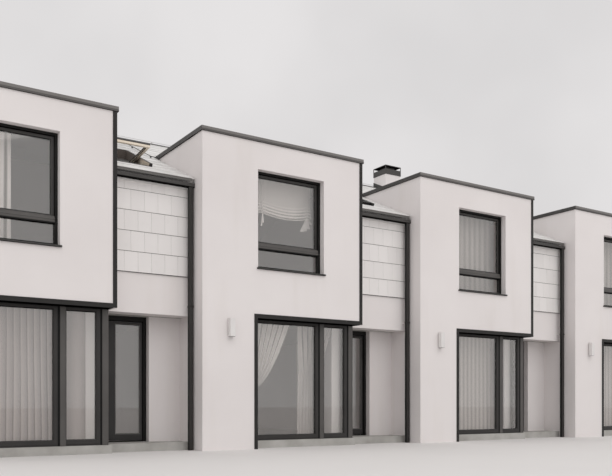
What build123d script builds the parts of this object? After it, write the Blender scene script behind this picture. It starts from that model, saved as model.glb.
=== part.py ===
from build123d import *
import os
from math import cos, radians, sin, tan

# A row of terraced houses. Each house is a bay with a flat roof, standing forward, and beside it
# a recess under the pitched roof, with the entrance in a porch below.
# X runs along the row, Y from the street to the garden and Z up, all in millimetres.
# Sizes are taken from the row's front left corner on the ground, and point() turns them
# into the part's own frame, whose origin lies on the ground under the middle of the row.

# The row
HOUSES = 4
BAY_WIDTH = 3650
RECESS_WIDTH = 1600
ROW_DEPTH = 8800
OUTER_WALL = 360
PARTY_WALL = 300

# Levels above the ground, then heights above the upper floor and the bay's ceiling
GROUND_FLOOR = 150
SOFFIT = 2500
FLOOR_DEPTH = 320
CLADDING_RISE = 404
CEILING_MARGIN = 47
BAY_ROOF_DEPTH = 260
PARAPET_RISE = 209

# The pitched roof over recess, rooms and garden side
ROOF_ANGLE = 25
ROOF_DEPTH = 250
EAVES_RISE = 2207
EAVES_OVERHANG = 200
BAY_ROOF_LAP = 17

# The recess and its porch
RECESS_FRONT = 500
PORCH_BACK = 1000
CLADDING_DEPTH = 35

# Gutters, the strips above them and the downpipes
GUTTER_DEPTH = 130
GUTTER_HEIGHT = 70
GUTTER_LIFT = 31
GUTTER_SHEET = 6
GUTTER_ROUND = 12
EAVES_GAP = 10
EAVES_STRIP = 12
EAVES_DRIP = 53
STRIP_END = 69
PIPE_WIDTH = 90
PIPE_DEPTH = 75
PIPE_ROUND = 15
PIPE_INSET = 25
BRACKET_SIZE = 30
STREET_BRACKETS = (2650,)
GARDEN_BRACKETS = (600, 2400, 4200)

# Metal trims
BAND_WIDTH = 74
BAND_PROUD = 12
SOFFIT_LINING = 8
COPING_HEIGHT = 85
COPING_OVERHANG = 25
SILL_THICKNESS = 30
SILL_PROJECTION = 40
SILL_EAR = 25

# Ground floor glazing of the bay
PIER_WIDTH = 1157
GLAZING_SETBACK = 250
GLAZING_DEPTH = 85
GLAZING_HEAD = 63
GLAZING_FOOT = 100
GLAZING_JAMB = 70
MULLION_LEFT = 2646
MULLION_WIDTH = 214
CORNER_STILE = 216
CORNER_INSET = 65
SIDE_JAMB = 50
PILLAR_FRONT = 593
PANE = 28

# Upper window of the bay
WINDOW_LEFT = 1165
WINDOW_WIDTH = 1521
SILL_RISE = 640
WINDOW_HEIGHT = 1873
WINDOW_REVEAL = 135
WINDOW_DEPTH = 95
WINDOW_FRAME = 48
SASH_FRAME = 60
SASH_FOOT = 92
SASH_SETBACK = 45
TRANSOM_RISE = 380
TRANSOM_HEIGHT = 60

# Garden side
GARDEN_WINDOW_HEIGHT = 1150
TERRACE_LEFT = 1000
TERRACE_WIDTH = 2000
KITCHEN_INSET = 200
KITCHEN_WIDTH = 900
KITCHEN_SILL = 1150

# Entrance
DOOR_SETBACK = 130
DOOR_FRAME_DEPTH = 100
DOOR_OPENING = 970
DOOR_JAMB = 60
DOOR_HEAD = 90
DOOR_LEAF = 70
DOOR_GAP = 10
THRESHOLD = 20
DOOR_STILE = 40
DOOR_PANEL = 300
DOOR_GLASS = 30
DOOR_HEAD_RAIL = 40
DOOR_FOOT_RAIL = 110
HANDLE_INSET = 80
HANDLE_LENGTH = 800
HANDLE_SIZE = 28
HANDLE_STAND_OFF = 45
HINGE_RADIUS = 9
HINGE_LENGTH = 110
HINGE_PLATE = 3
HINGE_PLATE_WIDTH = 40
HINGE_SHARES = (0.1, 0.5, 0.9)
KNUCKLE_GAP = 0.3

# Roof windows in the recess
ROOF_WINDOW_INSET = 190
ROOF_WINDOW_FOOT = 865
ROOF_WINDOW_WIDTH = 780
ROOF_WINDOW_LENGTH = 1400
ROOF_WINDOW_JAMB = 36
ROOF_WINDOW_PROUD = 62
ROOF_WINDOW_FOOT_PROUD = 10
ROOF_WINDOW_FLANGE = 6
ROOF_WINDOW_SUNK = 110
ROOF_WINDOW_SKIRT = 8
ROOF_WINDOW_MARGIN = 120
ROOF_SASH_GAP = 5
ROOF_SASH_FRAME = 50
ROOF_SASH_DEPTH = 58
ROOF_SASH_COVER = 10
ROOF_SASH_LIP = 3
ROOF_SASH_LIP_DEPTH = 16
ROOF_SASH_OPEN = 30
PIVOT_RADIUS = 12

# Chimneys
CHIMNEY_LEFT = 2360
CHIMNEY_WIDTH = 530
CHIMNEY_RISE = 260
COLLAR_HEIGHT = 148
COLLAR_SHEET = 12
CAP_GAP = 82
CAP_PLATE = 22
CAP_POST = 16
FLUE_WIDTH = 300
FLASHING_HEIGHT = 125
FLASHING_SHEET = 10

# Ridge
RIDGE_CAP_LEG = 170
RIDGE_CAP_SHEET = 18

# Lightning conductors
RIDGE_ROD_RADIUS = 4
CONDUCTOR_RADIUS = 8
CONDUCTOR_LIFT = 42
CONDUCTOR_INSET = 170
CONDUCTOR_BEND = 25
RIDGE_ROD_LIFT = 65
RIDGE_ROD_OFFSET = 40
RIDGE_ROD_END = 100
HOLDER_WIDTH = 24
HOLDER_SPACING = 1050
HOLDER_FIRST = 910
COPING_LAP = 35

# Wall lamps
LAMP_CENTRE = 570
LAMP_BOTTOM = 2110
LAMP_HEIGHT = 340
LAMP_WIDTH = 105
LAMP_DEPTH = 95
LAMP_PLATE = 18
LAMP_WALL = 5
LAMP_WELL = 90

# Curtains and their tracks
CURTAIN_SETBACK = 150
CURTAIN_DEPTH = 60
CURTAIN_CLEARANCE = 20
TRACK_SIZE = 24

MIN_CORNER = (Align.MIN, Align.MIN, Align.MIN)
HOUSE_PITCH = BAY_WIDTH + RECESS_WIDTH
ROW_LENGTH = HOUSES * HOUSE_PITCH + PARTY_WALL
HOUSE_STARTS = [HOUSE_PITCH * house for house in range(HOUSES)]
BAY_INNER_RIGHT = BAY_WIDTH - OUTER_WALL
UPPER_FLOOR = SOFFIT + FLOOR_DEPTH
CLADDING_BOTTOM = UPPER_FLOOR + CLADDING_RISE
WINDOW_SILL = UPPER_FLOOR + SILL_RISE
BAY_CEILING = WINDOW_SILL + WINDOW_HEIGHT + CEILING_MARGIN
PARAPET_TOP = BAY_CEILING + BAY_ROOF_DEPTH + PARAPET_RISE
EAVES_TOP = UPPER_FLOOR + EAVES_RISE
EAVES_FRONT = RECESS_FRONT - EAVES_OVERHANG
RIDGE = (EAVES_FRONT + ROW_DEPTH + EAVES_OVERHANG) / 2
ROOF_THICKNESS_UPRIGHT = ROOF_DEPTH / cos(radians(ROOF_ANGLE))
ROOF_WINDOW_RUN = ROOF_WINDOW_LENGTH * cos(radians(ROOF_ANGLE))
RECESS_ROOF_BACK = ROOF_WINDOW_FOOT + ROOF_WINDOW_RUN + ROOF_WINDOW_MARGIN
GUTTER_BACK = EAVES_FRONT + EAVES_GAP + GUTTER_DEPTH


def point(x, y, z=0):
    """A place measured from the row's front left corner, in the part's own frame."""
    return (x - ROW_LENGTH / 2, y - ROW_DEPTH / 2, z)


def roof_top(y):
    """Height of the roof's upper face at a distance y behind the bays' fronts."""
    run = min(y, 2 * RIDGE - y) - EAVES_FRONT
    return EAVES_TOP + run * tan(radians(ROOF_ANGLE))


def roof_under(y):
    """Height of the roof's lower face at the same place."""
    return roof_top(y) - ROOF_THICKNESS_UPRIGHT


def roof_meeting(z):
    """Distance behind the bays' fronts at which the roof's upper face reaches a height."""
    return EAVES_FRONT + (z - EAVES_TOP) / tan(radians(ROOF_ANGLE))


BAY_ROOF_BACK = roof_meeting(PARAPET_TOP) + BAY_ROOF_LAP
CHIMNEY_SHAFT_TOP = roof_top(RIDGE) + CHIMNEY_RISE


def block(x, y, z, starts=(0,), mode=Mode.ADD):
    """A rectangular block between low and high values of x, y and z, one from each start."""
    with Locations(*[point(start + x[0], y[0], z[0]) for start in starts]):
        Box(x[1] - x[0], y[1] - y[0], z[1] - z[0], align=MIN_CORNER, mode=mode)


def side_profile(x, outline, starts=(0,), mode=Mode.ADD, rounding=0):
    """An outline of (y, z) points, swept along the row, its lowest corners rounded if asked."""
    planes = [Plane(point(start + x[0], 0), x_dir=(0, 1, 0), z_dir=(1, 0, 0)) for start in starts]
    with BuildSketch(*planes) as outlines:
        Polygon(*outline, align=None)
        if rounding:
            fillet(outlines.vertices().group_by(Axis.Y)[0], rounding)
    extrude(outlines.sketch, amount=x[1] - x[0], mode=mode)


def front_plane(y, start=0):
    """A plane facing the street, with its own x along the row and its y up."""
    return Plane(point(start, y), x_dir=(1, 0, 0), z_dir=(0, -1, 0))


def rectangle(x, z, mode=Mode.ADD):
    """A rectangle between low and high values, in the sketch being drawn."""
    with Locations((x[0], z[0])):
        Rectangle(x[1] - x[0], z[1] - z[0], align=(Align.MIN, Align.MIN), mode=mode)


def pierced_sheet(x, y, z, holes, starts=(0,)):
    """A wall or frame with rectangular holes, each given by its low and high x and z."""
    with BuildSketch(*[front_plane(y[0], start) for start in starts]) as sheet:
        rectangle(x, z)
        for hole_x, hole_z in holes:
            rectangle(hole_x, hole_z, mode=Mode.SUBTRACT)
    extrude(sheet.sketch, amount=-(y[1] - y[0]))


def shrink(span, margin):
    """A span of low and high values made shorter by a margin at both ends."""
    return (span[0] + margin, span[1] - margin)


def spaced(first, last, spacing):
    """Places from a first one on, an equal distance apart, that lie before a last one."""
    return [first + spacing * step for step in range(int((last - first) / spacing) + 1)]


def corners(y, z):
    """The four corners of a rectangle seen from the side."""
    return [(y[0], z[0]), (y[1], z[0]), (y[1], z[1]), (y[0], z[1])]


def save(part, name):
    """Labels a finished sub-part and writes it to its own file."""
    part.label = name
    export_step(part, f"parts/{name}.step")


os.makedirs("parts", exist_ok=True)

# Floors, one of each for every house
rooms_back = ROW_DEPTH - OUTER_WALL

with BuildPart() as ground_slabs:
    slab_z = (0, GROUND_FLOOR)
    block((PARTY_WALL, BAY_WIDTH), (OUTER_WALL, rooms_back), slab_z, HOUSE_STARTS)
    block((PIER_WIDTH, BAY_WIDTH), (GLAZING_SETBACK, OUTER_WALL), slab_z, HOUSE_STARTS)
    block((BAY_WIDTH, HOUSE_PITCH), (RECESS_FRONT, rooms_back), slab_z, HOUSE_STARTS)
save(ground_slabs.part, "ground_slabs")

with BuildPart() as upper_floors:
    floor_z = (SOFFIT, UPPER_FLOOR)
    recess_inner = RECESS_FRONT + OUTER_WALL
    block((PARTY_WALL, BAY_INNER_RIGHT), (OUTER_WALL, rooms_back), floor_z, HOUSE_STARTS)
    block((BAY_INNER_RIGHT, HOUSE_PITCH), (recess_inner, rooms_back), floor_z, HOUSE_STARTS)
save(upper_floors.part, "upper_floors")

# Walls across the row, up to the roof's lower face
with BuildPart() as party_walls:
    for start in [*HOUSE_STARTS, HOUSES * HOUSE_PITCH]:
        front = OUTER_WALL if start in HOUSE_STARTS else RECESS_FRONT
        gable = [
            (front, 0),
            (rooms_back, 0),
            (rooms_back, roof_under(rooms_back)),
            (RIDGE, roof_under(RIDGE)),
            (front, roof_under(front)),
        ]
        side_profile((start, start + PARTY_WALL), gable)
save(party_walls.part, "party_walls")

with BuildPart() as bay_side_walls:
    corner_y = (OUTER_WALL, RECESS_FRONT + OUTER_WALL)
    corner_pier = [
        (corner_y[0], SOFFIT),
        (corner_y[1], SOFFIT),
        (corner_y[1], roof_under(corner_y[1])),
        (corner_y[0], roof_under(corner_y[0])),
    ]
    side_profile((BAY_INNER_RIGHT, BAY_WIDTH), corner_pier, HOUSE_STARTS)
save(bay_side_walls.part, "bay_side_walls")

with BuildPart() as bay_parapets:
    parapet = [
        (OUTER_WALL, roof_under(OUTER_WALL)),
        (BAY_ROOF_BACK, roof_under(BAY_ROOF_BACK)),
        (BAY_ROOF_BACK, PARAPET_TOP),
        (OUTER_WALL, PARAPET_TOP),
    ]
    side_profile((0, PARTY_WALL), parapet, HOUSE_STARTS)
    side_profile((BAY_INNER_RIGHT, BAY_WIDTH), parapet, HOUSE_STARTS)
save(bay_parapets.part, "bay_parapets")

# Street side walls
with BuildPart() as front_piers:
    block((0, PIER_WIDTH), (0, OUTER_WALL), (0, SOFFIT), HOUSE_STARTS)
save(front_piers.part, "front_piers")

window_x = (WINDOW_LEFT, WINDOW_LEFT + WINDOW_WIDTH)
window_z = (WINDOW_SILL, WINDOW_SILL + WINDOW_HEIGHT)
transom_z = WINDOW_SILL + TRANSOM_RISE
window_hole = (window_x, (WINDOW_SILL - SILL_THICKNESS, window_z[1]))

with BuildPart() as bay_front_walls:
    wall_z = (SOFFIT, PARAPET_TOP)
    pierced_sheet((0, BAY_WIDTH), (0, OUTER_WALL), wall_z, [window_hole], HOUSE_STARTS)
save(bay_front_walls.part, "bay_front_walls")

with BuildPart() as porch_side_walls:
    pillar_y = (PILLAR_FRONT, PORCH_BACK + OUTER_WALL)
    block((BAY_INNER_RIGHT, BAY_WIDTH), pillar_y, (GROUND_FLOOR, SOFFIT), HOUSE_STARTS)
save(porch_side_walls.part, "porch_side_walls")

with BuildPart() as porch_walls:
    beside_door = (BAY_WIDTH + DOOR_OPENING, HOUSE_PITCH)
    wall_y = (PORCH_BACK, PORCH_BACK + OUTER_WALL)
    block(beside_door, wall_y, (GROUND_FLOOR, SOFFIT), HOUSE_STARTS)
save(porch_walls.part, "porch_walls")

with BuildPart() as recess_walls:
    recess_y = (RECESS_FRONT, RECESS_FRONT + OUTER_WALL)
    recess_outline = [
        (recess_y[0], SOFFIT),
        (recess_y[1], SOFFIT),
        (recess_y[1], roof_under(recess_y[1])),
        (recess_y[0], roof_under(recess_y[0])),
    ]
    side_profile((BAY_WIDTH, HOUSE_PITCH), recess_outline, HOUSE_STARTS)
save(recess_walls.part, "recess_walls")

with BuildPart() as recess_cladding:
    cladding_y = (RECESS_FRONT - CLADDING_DEPTH, RECESS_FRONT)
    cladding_z = (CLADDING_BOTTOM, roof_under(RECESS_FRONT))
    block((BAY_WIDTH, HOUSE_PITCH), cladding_y, cladding_z, HOUSE_STARTS)
save(recess_cladding.part, "recess_cladding")

# Garden side wall, with a terrace window, a kitchen window and an upper window for each house
terrace_hole = ((TERRACE_LEFT, TERRACE_LEFT + TERRACE_WIDTH), (GROUND_FLOOR, SOFFIT - BAND_WIDTH))
kitchen_left = BAY_WIDTH + KITCHEN_INSET
kitchen_x = (kitchen_left, kitchen_left + KITCHEN_WIDTH)
kitchen_hole = (kitchen_x, (KITCHEN_SILL - SILL_THICKNESS, SOFFIT - BAND_WIDTH))
garden_window_z = (WINDOW_SILL, WINDOW_SILL + GARDEN_WINDOW_HEIGHT)
garden_holes = [
    (window_x, (WINDOW_SILL - SILL_THICKNESS, garden_window_z[1])),
    (kitchen_x, (WINDOW_SILL - SILL_THICKNESS, garden_window_z[1])),
]


def shifted(holes, start):
    """The same holes further along the row."""
    return [((x[0] + start, x[1] + start), z) for x, z in holes]


with BuildPart() as garden_wall:
    garden_y = (rooms_back, ROW_DEPTH)
    every_hole = [terrace_hole, kitchen_hole, *garden_holes]
    row_holes = [hole for start in HOUSE_STARTS for hole in shifted(every_hole, start)]
    pierced_sheet((0, ROW_LENGTH), garden_y, (0, roof_under(ROW_DEPTH)), row_holes)
    raked_top = [
        (rooms_back, roof_under(ROW_DEPTH)),
        (ROW_DEPTH, roof_under(ROW_DEPTH)),
        (rooms_back, roof_under(rooms_back)),
    ]
    side_profile((0, ROW_LENGTH), raked_top)
save(garden_wall.part, "garden_wall")

# Roofs
with BuildPart() as bay_roofs:
    flat_z = (BAY_CEILING, BAY_CEILING + BAY_ROOF_DEPTH)
    flat_x = (PARTY_WALL, BAY_INNER_RIGHT)
    block(flat_x, (OUTER_WALL, BAY_ROOF_BACK), flat_z, HOUSE_STARTS)
save(bay_roofs.part, "bay_roofs")

with BuildPart() as front_roof_slope:
    upper_slope = [
        (BAY_ROOF_BACK, roof_under(BAY_ROOF_BACK)),
        (RIDGE, roof_under(RIDGE)),
        (RIDGE, roof_top(RIDGE)),
        (BAY_ROOF_BACK, roof_top(BAY_ROOF_BACK)),
    ]
    side_profile((0, ROW_LENGTH), upper_slope)
    strip_y = (BAY_ROOF_BACK, RECESS_ROOF_BACK)
    block((BAY_WIDTH, HOUSE_PITCH), strip_y, (0, roof_top(RIDGE)), HOUSE_STARTS, Mode.SUBTRACT)
save(front_roof_slope.part, "front_roof_slope")

with BuildPart() as garden_roof_slope:
    garden_eaves = 2 * RIDGE - GUTTER_BACK
    garden_slope = [
        (RIDGE, roof_under(RIDGE)),
        (ROW_DEPTH, roof_under(ROW_DEPTH)),
        (garden_eaves, roof_under(ROW_DEPTH)),
        (garden_eaves, roof_top(garden_eaves)),
        (RIDGE, roof_top(RIDGE)),
    ]
    side_profile((0, ROW_LENGTH), garden_slope)
save(garden_roof_slope.part, "garden_roof_slope")


def roof_window_plane(start):
    """The roof's upper face at the middle of a roof window, with its own y up the slope."""
    slope = radians(ROOF_ANGLE)
    middle_y = ROOF_WINDOW_FOOT + ROOF_WINDOW_RUN / 2
    middle_x = start + BAY_WIDTH + ROOF_WINDOW_INSET + ROOF_WINDOW_WIDTH / 2
    middle = point(middle_x, middle_y, roof_top(middle_y))
    return Plane(middle, x_dir=(1, 0, 0), z_dir=(0, -sin(slope), cos(slope)))


roof_window_planes = [roof_window_plane(start) for start in HOUSE_STARTS]

with BuildPart() as recess_roofs:
    lower_slope = [
        (GUTTER_BACK, roof_under(RECESS_FRONT)),
        (RECESS_FRONT, roof_under(RECESS_FRONT)),
        (RECESS_ROOF_BACK, roof_under(RECESS_ROOF_BACK)),
        (RECESS_ROOF_BACK, roof_top(RECESS_ROOF_BACK)),
        (GUTTER_BACK, roof_top(GUTTER_BACK)),
    ]
    side_profile((BAY_WIDTH, HOUSE_PITCH), lower_slope, HOUSE_STARTS)
    with BuildSketch(*roof_window_planes) as window_holes:
        Rectangle(ROOF_WINDOW_WIDTH, ROOF_WINDOW_LENGTH)
    extrude(window_holes.sketch, amount=ROOF_DEPTH * 2, both=True, mode=Mode.SUBTRACT)
save(recess_roofs.part, "recess_roofs")

chimney_x = (CHIMNEY_LEFT, CHIMNEY_LEFT + CHIMNEY_WIDTH)
chimney_back = RIDGE - FLASHING_SHEET
chimney_y = (chimney_back - CHIMNEY_WIDTH, chimney_back)
skirt_x = (chimney_x[0] - FLASHING_SHEET, chimney_x[1] + FLASHING_SHEET)
skirt_y = (chimney_y[0] - FLASHING_SHEET, RIDGE)

with BuildPart() as ridge_cap:
    leg_run = RIDGE_CAP_LEG * cos(radians(ROOF_ANGLE))
    cap_rise = RIDGE_CAP_SHEET / cos(radians(ROOF_ANGLE))
    cap_y = (RIDGE - leg_run, RIDGE, RIDGE + leg_run)
    ridge_outline = [(y, roof_top(y)) for y in cap_y]
    ridge_outline += [(y, roof_top(y) + cap_rise) for y in reversed(cap_y)]
    side_profile((0, ROW_LENGTH), ridge_outline)
    block(skirt_x, skirt_y, (roof_under(RIDGE), CHIMNEY_SHAFT_TOP), HOUSE_STARTS, Mode.SUBTRACT)
save(ridge_cap.part, "ridge_cap")

# Gutters, the strips that cover them and the downpipes
gutter_y = (GUTTER_BACK - GUTTER_DEPTH, GUTTER_BACK)
gutter_bottom = roof_under(RECESS_FRONT) + GUTTER_LIFT
gutter_top = gutter_bottom + GUTTER_HEIGHT


def garden(y):
    """A span of y on the street side, mirrored to the garden side."""
    return (2 * RIDGE - y[1], 2 * RIDGE - y[0])


def gutter(x, y, starts=(0,)):
    """A box gutter with rounded lower edges, an open top and closed ends."""
    trough = corners(shrink(y, GUTTER_SHEET), (gutter_bottom + GUTTER_SHEET, gutter_top))
    trough_round = GUTTER_ROUND - GUTTER_SHEET
    side_profile(x, corners(y, (gutter_bottom, gutter_top)), starts, rounding=GUTTER_ROUND)
    side_profile(shrink(x, GUTTER_SHEET), trough, starts, Mode.SUBTRACT, trough_round)


with BuildPart() as gutters:
    gutter((BAY_WIDTH, HOUSE_PITCH), gutter_y, HOUSE_STARTS)
    gutter((0, ROW_LENGTH), garden(gutter_y))
save(gutters.part, "gutters")

with BuildPart() as eaves_strips:
    strip = [
        (EAVES_FRONT, EAVES_TOP - EAVES_DRIP),
        (EAVES_FRONT + EAVES_STRIP, EAVES_TOP - EAVES_DRIP),
        (EAVES_FRONT + EAVES_STRIP, EAVES_TOP - EAVES_STRIP),
        (GUTTER_BACK, roof_top(GUTTER_BACK) - EAVES_STRIP),
        (GUTTER_BACK, roof_top(GUTTER_BACK)),
        (EAVES_FRONT, EAVES_TOP),
    ]
    garden_strip = [(2 * RIDGE - y, z) for y, z in strip]
    side_profile((BAY_WIDTH, HOUSE_PITCH - STRIP_END), strip, HOUSE_STARTS)
    side_profile((0, ROW_LENGTH), garden_strip)
save(eaves_strips.part, "eaves_strips")

pipe_middle_x = HOUSE_PITCH - PIPE_INSET - PIPE_WIDTH / 2
pipe_y = (gutter_y[0] + EAVES_GAP, gutter_y[0] + EAVES_GAP + PIPE_DEPTH)
bracket_y = (pipe_y[1], RECESS_FRONT)


def downpipe(y, wall_y, heights):
    """A pipe from the ground to the gutter for each house, with brackets back to its wall."""
    bracket_x = (pipe_middle_x - BRACKET_SIZE / 2, pipe_middle_x + BRACKET_SIZE / 2)
    with BuildSketch() as sections:
        with Locations(*[point(start + pipe_middle_x, sum(y) / 2) for start in HOUSE_STARTS]):
            RectangleRounded(PIPE_WIDTH, PIPE_DEPTH, PIPE_ROUND)
    extrude(sections.sketch, amount=gutter_bottom)
    for height in heights:
        block(bracket_x, wall_y, (height, height + BRACKET_SIZE), HOUSE_STARTS)


with BuildPart() as downpipes:
    downpipe(pipe_y, bracket_y, STREET_BRACKETS)
    downpipe(garden(pipe_y), garden(bracket_y), GARDEN_BRACKETS)
save(downpipes.part, "downpipes")

# Copings on the bays' parapets, their back ends cut to the roof
coping_z = (PARAPET_TOP, PARAPET_TOP + COPING_HEIGHT)
coping_left_x = (-COPING_OVERHANG, PARTY_WALL + COPING_OVERHANG)
coping_right_x = (BAY_INNER_RIGHT - COPING_OVERHANG, BAY_WIDTH + COPING_OVERHANG)
coping_joint = OUTER_WALL + COPING_OVERHANG


with BuildPart() as front_copings:
    coping_y = (-COPING_OVERHANG, coping_joint)
    block((coping_left_x[0], coping_right_x[1]), coping_y, coping_z, HOUSE_STARTS)
save(front_copings.part, "front_copings")

with BuildPart() as side_copings:
    side_coping = [
        (coping_joint, coping_z[0]),
        (roof_meeting(coping_z[0]), coping_z[0]),
        (roof_meeting(coping_z[1]), coping_z[1]),
        (coping_joint, coping_z[1]),
    ]
    side_profile(coping_left_x, side_coping, HOUSE_STARTS)
    side_profile(coping_right_x, side_coping, HOUSE_STARTS)
save(side_copings.part, "side_copings")

# The dark band round each bay: up beside the glazing, along the soffit and up the corner,
# with a lining under the soffit back to the glazing
with BuildPart() as bay_edge_bands:
    band_z = SOFFIT + BAND_WIDTH
    with BuildSketch(*[front_plane(0, start) for start in HOUSE_STARTS]) as bands:
        rectangle((PIER_WIDTH - BAND_WIDTH, PIER_WIDTH), (0, band_z))
        rectangle((PIER_WIDTH - BAND_WIDTH, BAY_WIDTH), (SOFFIT, band_z))
        rectangle((BAY_WIDTH - BAND_WIDTH, BAY_WIDTH), (SOFFIT, PARAPET_TOP))
    extrude(bands.sketch, amount=BAND_PROUD)
    lining_x = (PIER_WIDTH, BAY_WIDTH - CORNER_INSET)
    lining_y = (-BAND_PROUD, GLAZING_SETBACK)
    block(lining_x, lining_y, (SOFFIT - SOFFIT_LINING, SOFFIT), HOUSE_STARTS)
save(bay_edge_bands.part, "bay_edge_bands")


# Windows of the upper floor, each with a sash above a fixed light, or a sash alone
def window_frame(x, z, y, transom, starts=(0,), outward=-1):
    """A frame in the wall with its sash set back a little, seen from the side it faces."""
    back = y - outward * WINDOW_DEPTH
    sash_face = y - outward * SASH_SETBACK
    sash_x, sash_z, fixed_z = window_lights(x, z, transom)
    holes = [(sash_x, sash_z)] + ([(sash_x, fixed_z)] if transom else [])
    pierced_sheet(x, sorted((y, back)), z, holes, starts)
    glass = (shrink(sash_x, SASH_FRAME), (sash_z[0] + SASH_FOOT, sash_z[1] - SASH_FRAME))
    pierced_sheet(sash_x, sorted((sash_face, back)), sash_z, [glass], starts)


def window_lights(x, z, transom):
    """The spans inside a frame: across, up the sash and up the fixed light below it."""
    sash_low = transom + TRANSOM_HEIGHT if transom else z[0] + WINDOW_FRAME
    return shrink(x, WINDOW_FRAME), (sash_low, z[1] - WINDOW_FRAME), (z[0] + WINDOW_FRAME, transom)


def window_glass(x, z, y, transom, starts=(0,), outward=-1):
    """The panes of a window, in the middle of its sash."""
    sash_x, sash_z, fixed_z = window_lights(x, z, transom)
    face = y - outward * (WINDOW_DEPTH + SASH_SETBACK) / 2
    pane_y = (face - PANE / 2, face + PANE / 2)
    sash_pane_z = (sash_z[0] + SASH_FOOT, sash_z[1] - SASH_FRAME)
    block(shrink(sash_x, SASH_FRAME), pane_y, sash_pane_z, starts)
    if transom:
        block(sash_x, pane_y, fixed_z, starts)


garden_face = ROW_DEPTH - WINDOW_REVEAL
kitchen_z = (KITCHEN_SILL, kitchen_hole[1][1])
garden_windows = [(window_x, garden_window_z), (kitchen_x, garden_window_z), (kitchen_x, kitchen_z)]

with BuildPart() as window_frames:
    window_frame(window_x, window_z, WINDOW_REVEAL, transom_z, HOUSE_STARTS)
    for span_x, span_z in garden_windows:
        window_frame(span_x, span_z, garden_face, 0, HOUSE_STARTS, outward=1)
save(window_frames.part, "window_frames")

with BuildPart() as window_panes:
    window_glass(window_x, window_z, WINDOW_REVEAL, transom_z, HOUSE_STARTS)
    for span_x, span_z in garden_windows:
        window_glass(span_x, span_z, garden_face, 0, HOUSE_STARTS, outward=1)
save(window_panes.part, "window_panes")

with BuildPart() as window_sills:
    street_lip = (-SILL_PROJECTION, 0)
    street_sill = (-SILL_PROJECTION, WINDOW_REVEAL)
    sill_z = (WINDOW_SILL - SILL_THICKNESS, WINDOW_SILL)
    block(window_x, street_sill, sill_z, HOUSE_STARTS)
    block(shrink(window_x, -SILL_EAR), street_lip, sill_z, HOUSE_STARTS)
    for span_x, span_z in garden_windows:
        sill_z = (span_z[0] - SILL_THICKNESS, span_z[0])
        garden_lip = (ROW_DEPTH, ROW_DEPTH + SILL_PROJECTION)
        block(span_x, (garden_face, garden_lip[1]), sill_z, HOUSE_STARTS)
        block(shrink(span_x, -SILL_EAR), garden_lip, sill_z, HOUSE_STARTS)
save(window_sills.part, "window_sills")

# Ground floor glazing of the bay, with its corner turned back to the pillar
glazing_x = (PIER_WIDTH, BAY_WIDTH - CORNER_INSET)
glazing_y = (GLAZING_SETBACK, GLAZING_SETBACK + GLAZING_DEPTH)
glazing_z = (GROUND_FLOOR, SOFFIT)
pane_z = (GROUND_FLOOR + GLAZING_FOOT, SOFFIT - GLAZING_HEAD)
street_lights = [
    ((glazing_x[0] + GLAZING_JAMB, MULLION_LEFT), pane_z),
    ((MULLION_LEFT + MULLION_WIDTH, glazing_x[1] - CORNER_STILE), pane_z),
]
corner_x = (glazing_x[1] - GLAZING_DEPTH, glazing_x[1])
corner_light_y = (glazing_y[1], PILLAR_FRONT - SIDE_JAMB)
terrace_x, terrace_z = terrace_hole
terrace_y = (garden_face - GLAZING_DEPTH, garden_face)
terrace_middle = sum(terrace_x) / 2
terrace_light_z = (terrace_z[0] + GLAZING_FOOT, terrace_z[1] - GLAZING_HEAD)
terrace_lights = [
    ((terrace_x[0] + GLAZING_JAMB, terrace_middle - GLAZING_JAMB), terrace_light_z),
    ((terrace_middle + GLAZING_JAMB, terrace_x[1] - GLAZING_JAMB), terrace_light_z),
]

with BuildPart() as glazing_frames:
    pierced_sheet(glazing_x, glazing_y, glazing_z, street_lights, HOUSE_STARTS)
    block(corner_x, (glazing_y[1], PILLAR_FRONT), glazing_z, HOUSE_STARTS)
    block(corner_x, corner_light_y, pane_z, HOUSE_STARTS, Mode.SUBTRACT)
    pierced_sheet(terrace_x, terrace_y, terrace_z, terrace_lights, HOUSE_STARTS)
save(glazing_frames.part, "glazing_frames")

with BuildPart() as glazing_panes:
    street_pane_y = (sum(glazing_y) / 2 - PANE / 2, sum(glazing_y) / 2 + PANE / 2)
    terrace_pane_y = (sum(terrace_y) / 2 - PANE / 2, sum(terrace_y) / 2 + PANE / 2)
    corner_pane_x = (sum(corner_x) / 2 - PANE / 2, sum(corner_x) / 2 + PANE / 2)
    for light_x, light_z in street_lights:
        block(light_x, street_pane_y, light_z, HOUSE_STARTS)
    for light_x, light_z in terrace_lights:
        block(light_x, terrace_pane_y, light_z, HOUSE_STARTS)
    block(corner_pane_x, corner_light_y, pane_z, HOUSE_STARTS)
save(glazing_panes.part, "glazing_panes")

# Entrances: a frame in each porch, and a leaf that swings inwards on its right side
entrance_x = (BAY_WIDTH, BAY_WIDTH + DOOR_OPENING)
entrance_y = (PORCH_BACK + DOOR_SETBACK, PORCH_BACK + DOOR_SETBACK + DOOR_FRAME_DEPTH)
passage_x = shrink(entrance_x, DOOR_JAMB)
passage_z = (GROUND_FLOOR + THRESHOLD, SOFFIT - DOOR_HEAD)
leaf_x = shrink(passage_x, DOOR_GAP)
leaf_y = (entrance_y[1] - DOOR_LEAF, entrance_y[1])
leaf_z = shrink(passage_z, DOOR_GAP)
pane_x = (leaf_x[0] + DOOR_PANEL, leaf_x[1] - DOOR_STILE)
door_pane_z = (leaf_z[0] + DOOR_FOOT_RAIL, leaf_z[1] - DOOR_HEAD_RAIL)
hinge_x = leaf_x[1] + DOOR_GAP / 2
hinge_y = entrance_y[1] + HINGE_RADIUS
hinge_heights = [leaf_z[0] + share * (leaf_z[1] - leaf_z[0]) for share in HINGE_SHARES]
hinge_half = (HINGE_LENGTH - KNUCKLE_GAP) / 2
hinge_plate_y = (leaf_y[1], leaf_y[1] + HINGE_PLATE)


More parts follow.
